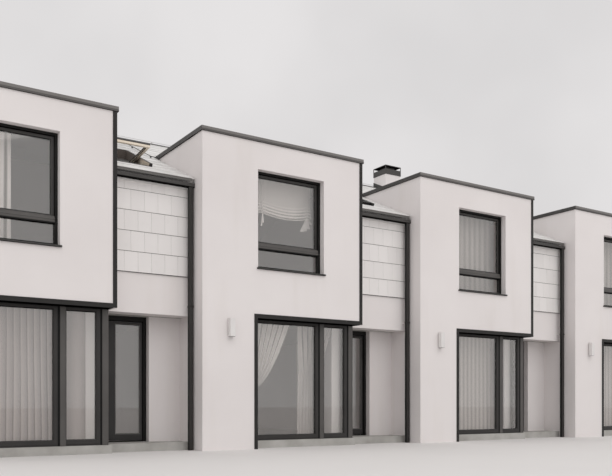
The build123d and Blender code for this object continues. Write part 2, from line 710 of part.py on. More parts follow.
def hinge_halves(plate_x, side, start):
    """One half of each hinge, a knuckle and its plate: below for the frame, above for the leaf."""
    for height in hinge_heights:
        middle = height + side * (KNUCKLE_GAP + hinge_half) / 2
        block(plate_x, hinge_plate_y, (middle - hinge_half / 2, middle + hinge_half / 2), (start,))
        with Locations(point(start + hinge_x, hinge_y, middle)):
            Cylinder(HINGE_RADIUS, hinge_half)


with BuildPart() as entrance_frames:
    pierced_sheet(entrance_x, entrance_y, (GROUND_FLOOR, SOFFIT), [(passage_x, passage_z)], HOUSE_STARTS)
    for start in HOUSE_STARTS:
        hinge_halves((hinge_x, hinge_x + HINGE_PLATE_WIDTH), -1, start)
save(entrance_frames.part, "entrance_frames")

for number, start in enumerate(HOUSE_STARTS, start=1):
    with BuildPart() as front_door:
        pierced_sheet(leaf_x, leaf_y, leaf_z, [(pane_x, door_pane_z)], (start,))
        hinge_halves((hinge_x - HINGE_PLATE_WIDTH, hinge_x), 1, start)
    save(front_door.part, f"front_door_{number}")

    with BuildPart() as door_pane:
        middle_y = sum(leaf_y) / 2
        glass_y = (middle_y - DOOR_GLASS / 2, middle_y + DOOR_GLASS / 2)
        block(pane_x, glass_y, door_pane_z, (start,))
    save(door_pane.part, f"door_pane_{number}")

    with BuildPart() as door_handle:
        bar_x = leaf_x[0] + HANDLE_INSET
        bar_middle = (leaf_z[0] + leaf_z[1]) / 2
        bar_x_span = (bar_x, bar_x + HANDLE_SIZE)
        bar_z_span = (bar_middle - HANDLE_LENGTH / 2, bar_middle + HANDLE_LENGTH / 2)
        bar_y = (leaf_y[0] - HANDLE_STAND_OFF - HANDLE_SIZE, leaf_y[0] - HANDLE_STAND_OFF)
        block(bar_x_span, bar_y, bar_z_span, (start,))
        for foot_z in shrink(bar_z_span, HANDLE_SIZE * 4):
            foot_span = (foot_z - HANDLE_SIZE / 2, foot_z + HANDLE_SIZE / 2)
            block(bar_x_span, (bar_y[1], leaf_y[0]), foot_span, (start,))
    save(door_handle.part, f"door_handle_{number}")

# Roof windows: a frame in the roof, low at its foot, and a sash turning on pivots at its middle
window_size = (ROOF_WINDOW_WIDTH, ROOF_WINDOW_LENGTH)
flashing_size = [size + 2 * ROOF_WINDOW_SKIRT for size in window_size]
opening_size = [size - 2 * ROOF_WINDOW_JAMB for size in window_size]
sash_size = [size - 2 * ROOF_SASH_GAP for size in opening_size]
cover_size = [size + 2 * ROOF_SASH_LIP for size in sash_size]
glass_size = [size - 2 * ROOF_SASH_FRAME for size in sash_size]
sash_top = ROOF_SASH_DEPTH / 2
pivot_height = ROOF_WINDOW_PROUD - ROOF_SASH_COVER - sash_top


def sash_plane(house):
    """The middle plane of a roof window's sash: the first house's stands open."""
    plane = roof_window_planes[house].offset(pivot_height)
    return plane.rotated((-ROOF_SASH_OPEN, 0, 0)) if house == 0 else plane


def ring(planes, outer, inner, low, high):
    """A border between an outer and an inner rectangle, from one height to another."""
    with BuildSketch(*[plane.offset(low) for plane in planes]) as rings:
        Rectangle(*outer)
        Rectangle(*inner, mode=Mode.SUBTRACT)
    extrude(rings.sketch, amount=high - low)


def lower_foot(height):
    """Cuts the foot of each frame down between its jambs, for the rain to run off over it."""
    with BuildSketch(*[plane.offset(height) for plane in roof_window_planes]) as feet:
        with Locations((0, -ROOF_WINDOW_LENGTH / 2)):
            Rectangle(opening_size[0], 2 * (ROOF_WINDOW_JAMB + ROOF_WINDOW_SKIRT))
    extrude(feet.sketch, amount=ROOF_WINDOW_PROUD, mode=Mode.SUBTRACT)


sash_planes = [sash_plane(house) for house in range(HOUSES)]

with BuildPart() as roof_window_frames:
    wood_top = ROOF_WINDOW_PROUD - ROOF_WINDOW_FLANGE
    ring(roof_window_planes, window_size, opening_size, -ROOF_WINDOW_SUNK, wood_top)
    lower_foot(ROOF_WINDOW_FOOT_PROUD - ROOF_WINDOW_FLANGE)
save(roof_window_frames.part, "roof_window_frames")

with BuildPart() as roof_window_flashings:
    ring(roof_window_planes, flashing_size, opening_size, 0, ROOF_WINDOW_PROUD)
    lower_foot(ROOF_WINDOW_FOOT_PROUD)
    add(roof_window_frames.part, mode=Mode.SUBTRACT)
save(roof_window_flashings.part, "roof_window_flashings")

with BuildPart() as roof_window_sashes:
    ring(sash_planes, sash_size, glass_size, -sash_top, sash_top)
    for plane in sash_planes:
        pivot_plane = Plane(plane.origin, x_dir=plane.y_dir, z_dir=plane.x_dir)
        with BuildSketch(pivot_plane) as pivot:
            Circle(PIVOT_RADIUS)
        pin_root = (sash_size[0] - ROOF_SASH_FRAME) / 2
        extrude(pivot.sketch, amount=opening_size[0] / 2, both=True)
        extrude(pivot.sketch, amount=pin_root, both=True, mode=Mode.SUBTRACT)
save(roof_window_sashes.part, "roof_window_sashes")

with BuildPart() as roof_window_covers:
    ring(sash_planes, cover_size, glass_size, sash_top, sash_top + ROOF_SASH_COVER)
    ring(sash_planes, cover_size, sash_size, sash_top - ROOF_SASH_LIP_DEPTH, sash_top)
save(roof_window_covers.part, "roof_window_covers")

with BuildPart() as roof_window_panes:
    with BuildSketch(*[plane.offset(-PANE / 2) for plane in sash_planes]) as roof_panes:
        Rectangle(*glass_size)
    extrude(roof_panes.sketch, amount=PANE)
save(roof_window_panes.part, "roof_window_panes")

# Chimneys on the front slope, just below the ridge
with BuildPart() as chimney_stacks:
    shaft = [
        (chimney_y[0], roof_top(chimney_y[0])),
        (chimney_y[1], roof_top(chimney_y[1])),
        (chimney_y[1], CHIMNEY_SHAFT_TOP),
        (chimney_y[0], CHIMNEY_SHAFT_TOP),
    ]
    side_profile(chimney_x, shaft, HOUSE_STARTS)
save(chimney_stacks.part, "chimney_stacks")

with BuildPart() as chimney_collars:
    collar_top = CHIMNEY_SHAFT_TOP + COLLAR_HEIGHT
    collar_x = shrink(chimney_x, -COLLAR_SHEET)
    collar_y = shrink(chimney_y, -COLLAR_SHEET)
    block(collar_x, collar_y, (CHIMNEY_SHAFT_TOP, collar_top), HOUSE_STARTS)
    flue_x = shrink(chimney_x, (CHIMNEY_WIDTH - FLUE_WIDTH) / 2)
    flue_y = shrink(chimney_y, (CHIMNEY_WIDTH - FLUE_WIDTH) / 2)
    post_spans_x = [(collar_x[0], collar_x[0] + CAP_POST), (collar_x[1] - CAP_POST, collar_x[1])]
    post_spans_y = [(collar_y[0], collar_y[0] + CAP_POST), (collar_y[1] - CAP_POST, collar_y[1])]
    vent_z = (collar_top, collar_top + CAP_GAP)
    block(flue_x, flue_y, vent_z, HOUSE_STARTS)
    for post_x in post_spans_x:
        for post_y in post_spans_y:
            block(post_x, post_y, vent_z, HOUSE_STARTS)
save(chimney_collars.part, "chimney_collars")

with BuildPart() as chimney_caps:
    block(collar_x, collar_y, (vent_z[1], vent_z[1] + CAP_PLATE), HOUSE_STARTS)
save(chimney_caps.part, "chimney_caps")

with BuildPart() as chimney_flashings:
    skirt = [
        (skirt_y[0], roof_top(skirt_y[0])),
        (skirt_y[1], roof_top(skirt_y[1])),
        (skirt_y[1], roof_top(skirt_y[1]) + FLASHING_HEIGHT),
        (skirt_y[0], roof_top(skirt_y[0]) + FLASHING_HEIGHT),
    ]
    side_profile(skirt_x, skirt, HOUSE_STARTS)
    block(chimney_x, chimney_y, (0, CHIMNEY_SHAFT_TOP), HOUSE_STARTS, Mode.SUBTRACT)
save(chimney_flashings.part, "chimney_flashings")

# Lightning conductors: a rod along the ridge, and one down the slope to the coping of each bay
# that has a roof beside it, all carried by small holders
rod_lift = CONDUCTOR_LIFT / cos(radians(ROOF_ANGLE))
ridge_rod_y = RIDGE + RIDGE_ROD_OFFSET
ridge_rod_z = roof_top(ridge_rod_y) + cap_rise + RIDGE_ROD_LIFT
rod_foot_y = roof_meeting(coping_z[0]) - COPING_LAP
rod_bend_y = RIDGE - RIDGE_CAP_LEG


def holder(x, y, base, top):
    """A small holder from the roof or its ridge cap up to a rod."""
    low, high = y - HOLDER_WIDTH / 2, y + HOLDER_WIDTH / 2
    outline = [(low, roof_top(low) + base), (high, roof_top(high) + base), (high, top), (low, top)]
    side_profile((x - HOLDER_WIDTH / 2, x + HOLDER_WIDTH / 2), outline)


def rod(*bends):
    """A round rod through a row of places, with rounded bends."""
    with BuildLine() as route:
        FilletPolyline(*bends, radius=CONDUCTOR_BEND)
    with BuildSketch(Plane(route.line @ 0, z_dir=route.line % 0)) as section:
        Circle(CONDUCTOR_RADIUS)
    sweep(section.sketch, path=route.line)


with BuildPart() as lightning_conductors:
    with Locations(point(ROW_LENGTH / 2, ridge_rod_y, ridge_rod_z)):
        Cylinder(RIDGE_ROD_RADIUS, ROW_LENGTH - 2 * RIDGE_ROD_END, rotation=(0, 90, 0))
    for x in spaced(HOLDER_FIRST, ROW_LENGTH - RIDGE_ROD_END, HOLDER_SPACING):
        holder(x, ridge_rod_y, cap_rise, ridge_rod_z)
    for start in HOUSE_STARTS[1:]:
        rod_x = start - CONDUCTOR_INSET
        rod_foot_z = roof_top(rod_foot_y) + rod_lift
        rod(
            point(start - COPING_OVERHANG, rod_foot_y, rod_foot_z),
            point(rod_x, rod_foot_y, rod_foot_z),
            point(rod_x, rod_bend_y, roof_top(rod_bend_y) + rod_lift),
            point(rod_x, ridge_rod_y, ridge_rod_z),
        )
        for y in spaced(rod_foot_y + HOLDER_WIDTH, rod_bend_y, HOLDER_SPACING):
            holder(rod_x, y, 0, roof_top(y) + rod_lift)
save(lightning_conductors.part, "lightning_conductors")

# Wall lamps on the piers, open above and below
with BuildPart() as wall_lamps:
    lamp_x = (LAMP_CENTRE - LAMP_WIDTH / 2, LAMP_CENTRE + LAMP_WIDTH / 2)
    lamp_z = (LAMP_BOTTOM, LAMP_BOTTOM + LAMP_HEIGHT)
    lamp_y = (-LAMP_PLATE - LAMP_DEPTH, -LAMP_PLATE)
    well_x, well_y = shrink(lamp_x, LAMP_WALL), shrink(lamp_y, LAMP_WALL)
    block(shrink(lamp_x, LAMP_WIDTH / 4), (-LAMP_PLATE, 0), shrink(lamp_z, LAMP_HEIGHT / 4), HOUSE_STARTS)
    block(lamp_x, lamp_y, lamp_z, HOUSE_STARTS)
    block(well_x, well_y, (lamp_z[0], lamp_z[0] + LAMP_WELL), HOUSE_STARTS, Mode.SUBTRACT)
    block(well_x, well_y, (lamp_z[1] - LAMP_WELL, lamp_z[1]), HOUSE_STARTS, Mode.SUBTRACT)
save(wall_lamps.part, "wall_lamps")

# Curtains behind the street side glazing, hung from tracks under the ceilings
lower_curtain_y = (glazing_y[1] + CURTAIN_SETBACK, glazing_y[1] + CURTAIN_SETBACK + CURTAIN_DEPTH)
upper_curtain_y = (OUTER_WALL + CURTAIN_SETBACK, OUTER_WALL + CURTAIN_SETBACK + CURTAIN_DEPTH)

with BuildPart() as curtain_tracks:
    for track_y, ceiling in ((lower_curtain_y, SOFFIT), (upper_curtain_y, BAY_CEILING)):
        middle = sum(track_y) / 2
        track_span = (middle - TRACK_SIZE / 2, middle + TRACK_SIZE / 2)
        block((PARTY_WALL, BAY_INNER_RIGHT), track_span, (ceiling - TRACK_SIZE, ceiling), HOUSE_STARTS)
save(curtain_tracks.part, "curtain_tracks")

with BuildPart() as lower_curtains:
    curtain_z = (GROUND_FLOOR + CURTAIN_CLEARANCE, SOFFIT - TRACK_SIZE)
    block((PIER_WIDTH, BAY_INNER_RIGHT - CURTAIN_CLEARANCE), lower_curtain_y, curtain_z, HOUSE_STARTS)
save(lower_curtains.part, "lower_curtains")

with BuildPart() as upper_curtains:
    curtain_z = (UPPER_FLOOR + CURTAIN_CLEARANCE, BAY_CEILING - TRACK_SIZE)
    block(shrink(window_x, -SILL_EAR), upper_curtain_y, curtain_z, HOUSE_STARTS)
save(upper_curtains.part, "upper_curtains")
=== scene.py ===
from math import cos, floor, hypot, pi, radians, sin

import bmesh
import bpy
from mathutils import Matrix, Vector, noise


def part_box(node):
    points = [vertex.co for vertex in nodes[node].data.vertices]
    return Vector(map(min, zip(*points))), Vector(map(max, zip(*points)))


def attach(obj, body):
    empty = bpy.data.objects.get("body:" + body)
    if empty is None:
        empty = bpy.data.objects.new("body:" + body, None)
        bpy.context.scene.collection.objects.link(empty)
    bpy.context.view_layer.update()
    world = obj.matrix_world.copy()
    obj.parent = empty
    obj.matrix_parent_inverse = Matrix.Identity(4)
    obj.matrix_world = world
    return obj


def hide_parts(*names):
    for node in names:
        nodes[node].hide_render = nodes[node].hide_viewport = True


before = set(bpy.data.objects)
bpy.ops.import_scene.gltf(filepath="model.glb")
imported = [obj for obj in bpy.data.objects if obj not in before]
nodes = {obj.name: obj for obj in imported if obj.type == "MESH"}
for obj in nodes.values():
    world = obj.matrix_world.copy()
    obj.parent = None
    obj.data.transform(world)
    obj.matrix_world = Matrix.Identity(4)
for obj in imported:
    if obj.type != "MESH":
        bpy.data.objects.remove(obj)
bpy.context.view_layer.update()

# A row of terraced houses: the looks of every surface, the tiles of its cladding and roofs, the
# profiles and seals of its windows, and its curtains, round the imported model.
# All sizes are metres and all colours are linear. Places are measured from the row's front left
# corner on the ground, and place() turns them into the frame's own coordinates.

# The row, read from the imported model
ROW_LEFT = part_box("party_walls")[0].x
STREET_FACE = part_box("bay_front_walls")[0].y


def extent(name, axis):
    """A node's span along an axis, measured from the row's front left corner."""
    start = {"x": ROW_LEFT, "y": STREET_FACE, "z": 0.0}[axis]
    return tuple(getattr(corner, axis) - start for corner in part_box(name))


ROW_LENGTH = extent("party_walls", "x")[1]
ROW_DEPTH = extent("garden_wall", "y")[1]
HOUSES = 4
PARTY_WALL = 0.3
OUTER_WALL = 0.36
HOUSE_PITCH = (ROW_LENGTH - PARTY_WALL) / HOUSES
HOUSE_STARTS = [HOUSE_PITCH * house for house in range(HOUSES)]
RECESS_WIDTH = 1.6
BAY_WIDTH = HOUSE_PITCH - RECESS_WIDTH
BAY_INNER_RIGHT = BAY_WIDTH - OUTER_WALL
GROUND_FLOOR = extent("ground_slabs", "z")[1]
SOFFIT = extent("front_piers", "z")[1]

# The pitched roof
EAVES_FRONT = extent("eaves_strips", "y")[0]
EAVES_TOP = 5.027
SLOPE_START, RIDGE = extent("front_roof_slope", "y")
RIDGE_TOP = extent("front_roof_slope", "z")[1]
ROOF_RISE = (RIDGE_TOP - EAVES_TOP) / (RIDGE - EAVES_FRONT)
ROOF_STRETCH = hypot(1, ROOF_RISE)
RECESS_ROOF_FRONT = extent("recess_roofs", "y")[0]
GARDEN_EAVES = extent("garden_roof_slope", "y")[1]

# Tiles
TILE_WIDTH = 0.2575
COURSE = 0.368
TILE_LOW_EDGE = 0.012
TILE_HIGH_EDGE = 0.003
TILE_BEVEL = 0.0015
CLADDING_JOINTS = (0.2415, 0.1075)
CLADDING_GAPS = (0.002, 0.007)
ROOF_GAPS = (0.003, 0.0)

# Windows of the upper floor and glazing of the ground floor, as on the model
WINDOW_X = (1.165, 2.686)
WINDOW_Z = (3.46, 5.333)
WINDOW_REVEAL = 0.135
WINDOW_FRAME = 0.048
SASH_FRAME = 0.06
SASH_FOOT = 0.092
SASH_SETBACK = 0.045
TRANSOM = (3.84, 3.9)
PANE_SETBACK = 0.056
GARDEN_WINDOWS = [
    (WINDOW_X, (3.46, 4.61)), ((3.85, 4.75), (3.46, 4.61)), ((3.85, 4.75), (1.15, 2.426)),
]
GLAZING_FACE = 0.25
GLAZING_RIGHT = 3.585
GLAZING_Z = (0.25, 2.437)
GLAZING_LIGHTS = [(1.227, 2.646), (2.86, 3.369)]
CORNER_LIGHT = (0.335, 0.543)
GLAZING_PANE = 0.0285
TERRACE_Z = (0.25, 2.363)
TERRACE_LIGHTS = [(1.07, 1.93), (2.07, 2.93)]

# Downpipes, as on the model
PIPE_X = (5.135, 5.225)
STREET_PIPE_Y = (0.32, 0.395)

# The camera, solved from the photograph
CAMERA_PLACE = (-0.899, -12.846, 0.86)
CAMERA_TURN = 33.1924
CAMERA_LENS = 45.607
CAMERA_SHIFT = 0.27117


def place(x, y, z):
    """A place measured from the row's front left corner, in the frame's coordinates."""
    return (x + ROW_LEFT, y + STREET_FACE, z)


def shrink(span, margin):
    """A span of low and high values made shorter by a margin at both ends."""
    return (span[0] + margin, span[1] - margin)


def moved(span, distance):
    """A span of low and high values moved along."""
    return (span[0] + distance, span[1] + distance)


def around(middle, width):
    """The span of a width round its middle."""
    return (middle - width / 2, middle + width / 2)


def between(a, b, share):
    """The value a share of the way from a to b."""
    return a + share * (b - a)


def inset(rectangle, margin):
    """A rectangle of two spans with a margin taken off all round."""
    return tuple(shrink(span, margin) for span in rectangle)


# Materials. Each has a tree of nodes round one principled shader
def plug(tree, socket, value):
    """Links an input to an output, or sets it to a value."""
    if isinstance(value, bpy.types.NodeSocket):
        tree.links.new(value, socket)
    else:
        socket.default_value = value


def add_node(tree, kind, **values):
    """A shader node, with its inputs given by name and its other settings by attribute."""
    node = tree.nodes.new("ShaderNode" + kind)
    for key, value in values.items():
        name = key.replace("_", " ")
        if name in node.inputs:
            plug(tree, node.inputs[name], value)
        else:
            setattr(node, key, value)
    return node


def output(tree, kind, name, **values):
    """One output of a new shader node."""
    return add_node(tree, kind, **values).outputs[name]


def shade(tree, name, value):
    """Gives the principled shader an input."""
    plug(tree, tree.nodes["Principled BSDF"].inputs[name], value)


def base_colour(tree):
    """What the principled shader has for its base colour so far."""
    return tree.nodes["Principled BSDF"].inputs["Base Color"].links[0].from_socket


def principled(name, **values):
    """A new material with the principled shader's inputs set by name, and its tree."""
    material = bpy.data.materials.new(name)
    material.use_nodes = True
    for key, value in values.items():
        shade(material.node_tree, key.replace("_", " "), value)
    return material, material.node_tree


def grain(tree, scale, detail=3.0, stretch=(1, 1, 1)):
    """A cloudy pattern fixed to the object, with so many spots to the metre."""
    spot = output(tree, "TexCoord", "Object")
    spot = output(tree, "Mapping", "Vector", Vector=spot, Scale=stretch)
    return output(tree, "TexNoise", "Fac", Vector=spot, Scale=scale, Detail=detail)


def two_tone(tree, pattern, low, first, high, second):
    """A colour that goes from the first to the second as the pattern goes from low to high."""
    ramp = add_node(tree, "ValToRGB", Fac=pattern)
    ends = ramp.color_ramp.elements
    ends[0].position, ends[0].color = low, (*first, 1)
    ends[1].position, ends[1].color = high, (*second, 1)
    return ramp.outputs["Color"]


def colour_between(tree, pattern, dark, light, low=0.3, high=0.7):
    """The base colour goes from dark to light as the pattern goes from low to high."""
    shade(tree, "Base Color", two_tone(tree, pattern, low, dark, high, light))


def roughness_between(tree, pattern, smooth, rough):
    """The roughness follows the pattern between two values."""
    shade(tree, "Roughness", output(tree, "MapRange", "Result", Value=pattern, From_Min=0.3,
                                    From_Max=0.7, To_Min=smooth, To_Max=rough))


def bump(tree, pattern, depth, strength=1.0):
    """Raises the surface by the pattern, at most by depth."""
    relief = output(tree, "Bump", "Normal", Height=pattern, Strength=strength, Distance=depth)
    shade(tree, "Normal", relief)


def weathered_and_shaded(tree, pattern, low, tint, width=0.2):
    """Tints the base colour where a pattern is low: rain streaks and painted shade."""
    streaks = two_tone(tree, pattern, low, tint, low + width, (1, 1, 1))
    shade(tree, "Base Color", output(tree, "MixRGB", "Color", blend_type="MULTIPLY", Fac=1.0,
                                     Color1=base_colour(tree), Color2=streaks))


def recoat(material, mask, colour, below=False):
    """Paints another colour over a material's own, where the mask is high, or low."""
    tree = material.node_tree
    own, other = ("Color2", "Color1") if below else ("Color1", "Color2")
    coats = {own: base_colour(tree), other: (*colour, 1)}
    shade(tree, "Base Color", output(tree, "MixRGB", "Color", Fac=mask, **coats))
    return material


def facing(tree, axis):
    """How far a surface faces along an axis of the frame, from -1 to 1."""
    return output(tree, "SeparateXYZ", axis, Vector=output(tree, "NewGeometry", "Normal"))


def standing(tree, axis):
    """A point's place along an axis of the frame."""
    return output(tree, "SeparateXYZ", axis, Vector=output(tree, "TexCoord", "Object"))


def calculated(tree, operation, value, other=0.0):
    """The result of a sum."""
    step = add_node(tree, "Math", operation=operation)
    plug(tree, step.inputs[0], value)
    plug(tree, step.inputs[1], other)
    return step.outputs["Value"]


def ramped(tree, value, low, high):
    """A value stretched to go from 0 at low to 1 at high, or down where high is the smaller."""
    return output(tree, "MapRange", "Result", Value=value, From_Min=low, From_Max=high)


def mixed(tree, share, first, second):
    """A shader that is a share of the way from the first to the second."""
    mix = add_node(tree, "MixShader", Fac=share)
    plug(tree, mix.inputs[1], first)
    plug(tree, mix.inputs[2], second)
    return mix.outputs["Shader"]


# Colours that are laid over a part of a material
PILLAR_WHITE = (0.93, 0.915, 0.905)
# Painted shade on the undersides of coated metal
UNDERSIDE_PAINTED_SHADE = (0.12, 0.12, 0.12)
# Painted shade on the sides of the downpipes
PIPE_SIDE_PAINTED_SHADE = (0.006, 0.006, 0.006)
BRACKET_WHITE = (0.6, 0.58, 0.57)
# Painted shade on the returns of the street copings
COPING_RETURN_PAINTED_SHADE = (0.058, 0.055, 0.053)
# Painted shade inside the openings of the roof windows
SHADED_PINE = (0.15, 0.125, 0.11)
PINE_SHADE_Y = (1.25, 1.45)
# Painted shade on the folds of curtains
FOLD_PAINTED_SHADE = (0.22, 0.21, 0.20)

# The side on which curtain folds get painted shade, and the range from that shade to the light
FOLD_SIDE = (0.75, 0.0, -0.65)
FOLD_RANGE = (0.4, -0.2)


def clouded(name, clouds, dark, light, relief=None, spread=None, ends=(0.3, 0.7), **values):
    """A new material with a clouded colour. Its relief and its spread of roughness each start
    with the numbers of their own grain."""
    material, tree = principled(name, **values)
    colour_between(tree, grain(tree, *clouds), dark, light, *ends)
    if relief:
        bump(tree, grain(tree, *relief[0]), *relief[1:])
    if spread:
        roughness_between(tree, grain(tree, *spread[0]), *spread[1:])
    return material


def render_plaster():
    """White render, faintly clouded and streaked by rain."""
    material = clouded(
        "white_render", (0.5, 6), (0.75, 0.712, 0.706), (0.8, 0.764, 0.758),
        ((260, 2), 0.0012, 0.6), Roughness=0.92, Specular_IOR_Level=0.3)
    tree = material.node_tree
    weathered_and_shaded(tree, grain(tree, 2.2, 5, (1, 1, 0.12)), 0.25, (0.965, 0.96, 0.95))
    return material


def pillar_plaster():
    """The same render, painted white where the pillar stands behind the glazing."""
    material = render_plaster()
    tree = material.node_tree
    to_street = calculated(tree, "LESS_THAN", facing(tree, "Y"), -0.7)
    return recoat(material, to_street, PILLAR_WHITE)


def pale_tile(name, dark, light):
    """Smooth pale tiles, each with its own slight tint."""
    material, tree = principled(name, Roughness=0.6, Specular_IOR_Level=0.4)
    tint = output(tree, "NewGeometry", "Random Per Island")
    colour_between(tree, tint, dark, light, 0.0, 1.0)
    weathered_and_shaded(tree, grain(tree, 5, 6), 0.2, (0.95, 0.95, 0.945))
    roughness_between(tree, grain(tree, 9, 5), 0.5, 0.72)
    bump(tree, grain(tree, 300, 3), 0.0003)
    return material


def coated_metal(name, dark, light, roughness, gloss=0.3):
    """Powder coated sheet, with a fine skin and faint clouds, and painted shade underneath."""
    spread = ((14, 4), *around(roughness, 0.12))
    material = clouded(name, (2.2, 6), dark, light, ((900, 2), 0.0001), spread)
    tree = material.node_tree
    # Painted shade: faces that look down get a darker colour and less gloss
    upward = ramped(tree, facing(tree, "Z"), -1, 0)
    weathered_and_shaded(tree, upward, 0.5, UNDERSIDE_PAINTED_SHADE)
    shade(tree, "Specular IOR Level", calculated(tree, "MULTIPLY", upward, gloss))
    return material


def pipe_metal():
    """Coated pipes with painted shade on their sides, on brackets the colour of the wall."""
    material = coated_metal("pipe_coating", (0.03, 0.028, 0.027), (0.04, 0.037, 0.035), 0.5)
    tree = material.node_tree
    # Painted shade: the sides, which face neither street nor garden, are nearly black
    recoat(material, calculated(tree, "ABSOLUTE", facing(tree, "Y")), PIPE_SIDE_PAINTED_SHADE, below=True)
    from_ridge = calculated(tree, "SUBTRACT", standing(tree, "Y"), place(0, RIDGE, 0)[1])
    distance = calculated(tree, "ABSOLUTE", from_ridge)
    bracket = calculated(tree, "LESS_THAN", distance, RIDGE - STREET_PIPE_Y[1] - 0.001)
    return recoat(material, bracket, BRACKET_WHITE)


def coping_metal():
    """Pale sheet along the street; painted shade makes its returns as dark as the side copings."""
    material = coated_metal("coping_sheet", (0.165, 0.156, 0.151), (0.19, 0.181, 0.175), 0.45)
    tree = material.node_tree
    # Painted shade on the faces that look along the row
    sideways_share = calculated(tree, "ABSOLUTE", facing(tree, "X"))
    return recoat(material, calculated(tree, "GREATER_THAN", sideways_share, 0.5), COPING_RETURN_PAINTED_SHADE)


def conductor():
    """Galvanised rod, pale along the ridge and nearly black on the slope as painted shade."""
    material, tree = principled("conductor_rod", Metallic=0.3, Roughness=0.5)
    ridge_line = place(0, RIDGE, 0)[1]
    # Painted shade: the rod darkens where it runs down the slope
    behind = ramped(tree, standing(tree, "Y"), ridge_line - 0.06, ridge_line - 0.02)
    colour_between(tree, behind, (0.06, 0.058, 0.055), (0.62, 0.61, 0.60), 0.0, 1.0)
    bump(tree, grain(tree, 400, 2), 0.0002)
    return material


def membrane():
    """Dark sheet of the flat roofs, with paler dried puddles."""
    material = clouded("roof_membrane", (4, 6), (0.10, 0.10, 0.10), (0.15, 0.15, 0.145),
                       ((500, 2), 0.0006), Roughness=0.8)
    weathered_and_shaded(material.node_tree, grain(material.node_tree, 0.8, 4), 0.35, (0.72, 0.70, 0.66))
    return material


def pine(name, dark, light):
    """Varnished pine, with its growth along the slope."""
    growth = (14, 4, (12, 1.2, 1.2))
    return clouded(name, growth, dark, light, (growth, 0.0004), ends=(0.35, 0.65), Roughness=0.45)


def pine_painted_shade():
    """Pine of the fixed frames: pale at the foot, grey with painted shade towards the head."""
    material = pine("pine_painted_shade", (0.74, 0.64, 0.51), (0.86, 0.78, 0.65))
    tree = material.node_tree
    shaded = ramped(tree, standing(tree, "Y"), *[place(0, y, 0)[1] for y in PINE_SHADE_Y])
    return recoat(material, shaded, SHADED_PINE)


def window_glass(name, tint=(0.985, 0.975, 0.968), index=2.3, rear=0.07):
    """Panes that let light through unbent, and mirror as insulating glass does.
    The index sets how much the outer face mirrors, and rear is the share that the back does."""
    material, tree = principled(name)
    tree.nodes.remove(tree.nodes["Principled BSDF"])
    through = output(tree, "BsdfTransparent", "BSDF", Color=(*tint, 1))
    mirror = output(tree, "BsdfGlossy", "BSDF", Color=(1, 0.985, 0.972, 1), Roughness=0.02)
    front = output(tree, "Fresnel", "Fac", IOR=index)
    inside = output(tree, "NewGeometry", "Backfacing")
    back = (rear, rear, rear, 1)
    share = output(tree, "MixRGB", "Color", Fac=inside, Color1=front, Color2=back)
    plug(tree, tree.nodes["Material Output"].inputs["Surface"], mixed(tree, share, through, mirror))
    return material


def sheer(name, colour, solid):
    """Curtain cloth: fine weave, painted shade on its folds, scattering light through itself."""
    weave, dark = (5, 4, (1, 1, 0.1)), [c * 0.95 for c in colour]
    material = clouded(name, weave, dark, colour, Roughness=0.9, Sheen_Weight=0.2)
    tree = material.node_tree
    # Painted shade: folds that turn towards FOLD_SIDE are darkened
    turned = add_node(tree, "VectorMath", operation="DOT_PRODUCT")
    plug(tree, turned.inputs[0], output(tree, "NewGeometry", "Normal"))
    plug(tree, turned.inputs[1], FOLD_SIDE)
    lit = ramped(tree, turned.outputs["Value"], *FOLD_RANGE)
    weathered_and_shaded(tree, lit, 0.1, FOLD_PAINTED_SHADE, width=0.9)
    glow = output(tree, "BsdfTranslucent", "BSDF", Color=(*colour, 1))
    hole = output(tree, "BsdfTransparent", "BSDF")
    cloth = mixed(tree, 0.1, tree.nodes["Principled BSDF"].outputs["BSDF"], glow)
    veil = mixed(tree, solid, hole, cloth)
    plug(tree, tree.nodes["Material Output"].inputs["Surface"], veil)
    return material


RENDER = render_plaster()
PILLAR_RENDER = pillar_plaster()
CONCRETE = clouded(
    "concrete", (3, 8), (0.33, 0.32, 0.30), (0.46, 0.45, 0.43), ((120, 4), 0.001), Roughness=0.85)
CLADDING_TILE = pale_tile("cladding_tile", (0.765, 0.742, 0.732), (0.81, 0.787, 0.777))
ROOF_TILE = pale_tile("roof_tile", (0.64, 0.63, 0.62), (0.75, 0.74, 0.73))
# Painted shade: the dark backing shows through the tiles' joints as shadow lines
BACKING_PAINTED_SHADE = coated_metal("cladding_backing_painted_shade", (0.05, 0.05, 0.05), (0.09, 0.09, 0.09), 0.8)
BAND_METAL = coated_metal("dark_band", (0.014, 0.013, 0.0125), (0.019, 0.0175, 0.0165), 0.5)
GUTTER_METAL = coated_metal("gutter_sheet", (0.052, 0.049, 0.0475), (0.065, 0.062, 0.06), 0.5)
COPING_METAL = coping_metal()
# Darker than the coping sheet: a painted shadow line along its foot
DRIP_PAINTED_SHADE_METAL = coated_metal("coping_fold_painted_shade", (0.078, 0.073, 0.07), (0.094, 0.089, 0.086), 0.45)
STRIP_METAL = coated_metal("eaves_sheet", (0.12, 0.115, 0.11), (0.145, 0.14, 0.135), 0.45)
# The frames' own near black coating, darkened further as painted shade of the deep reveals
FRAME_BLACK = coated_metal(
    "frame_coating_and_painted_shade", (0.006, 0.0057, 0.0055), (0.01, 0.0095, 0.009), 0.5, 0.2)
SASH_METAL = coated_metal("sash_coating", (0.03, 0.0285, 0.027), (0.04, 0.038, 0.036), 0.4, 0.4)
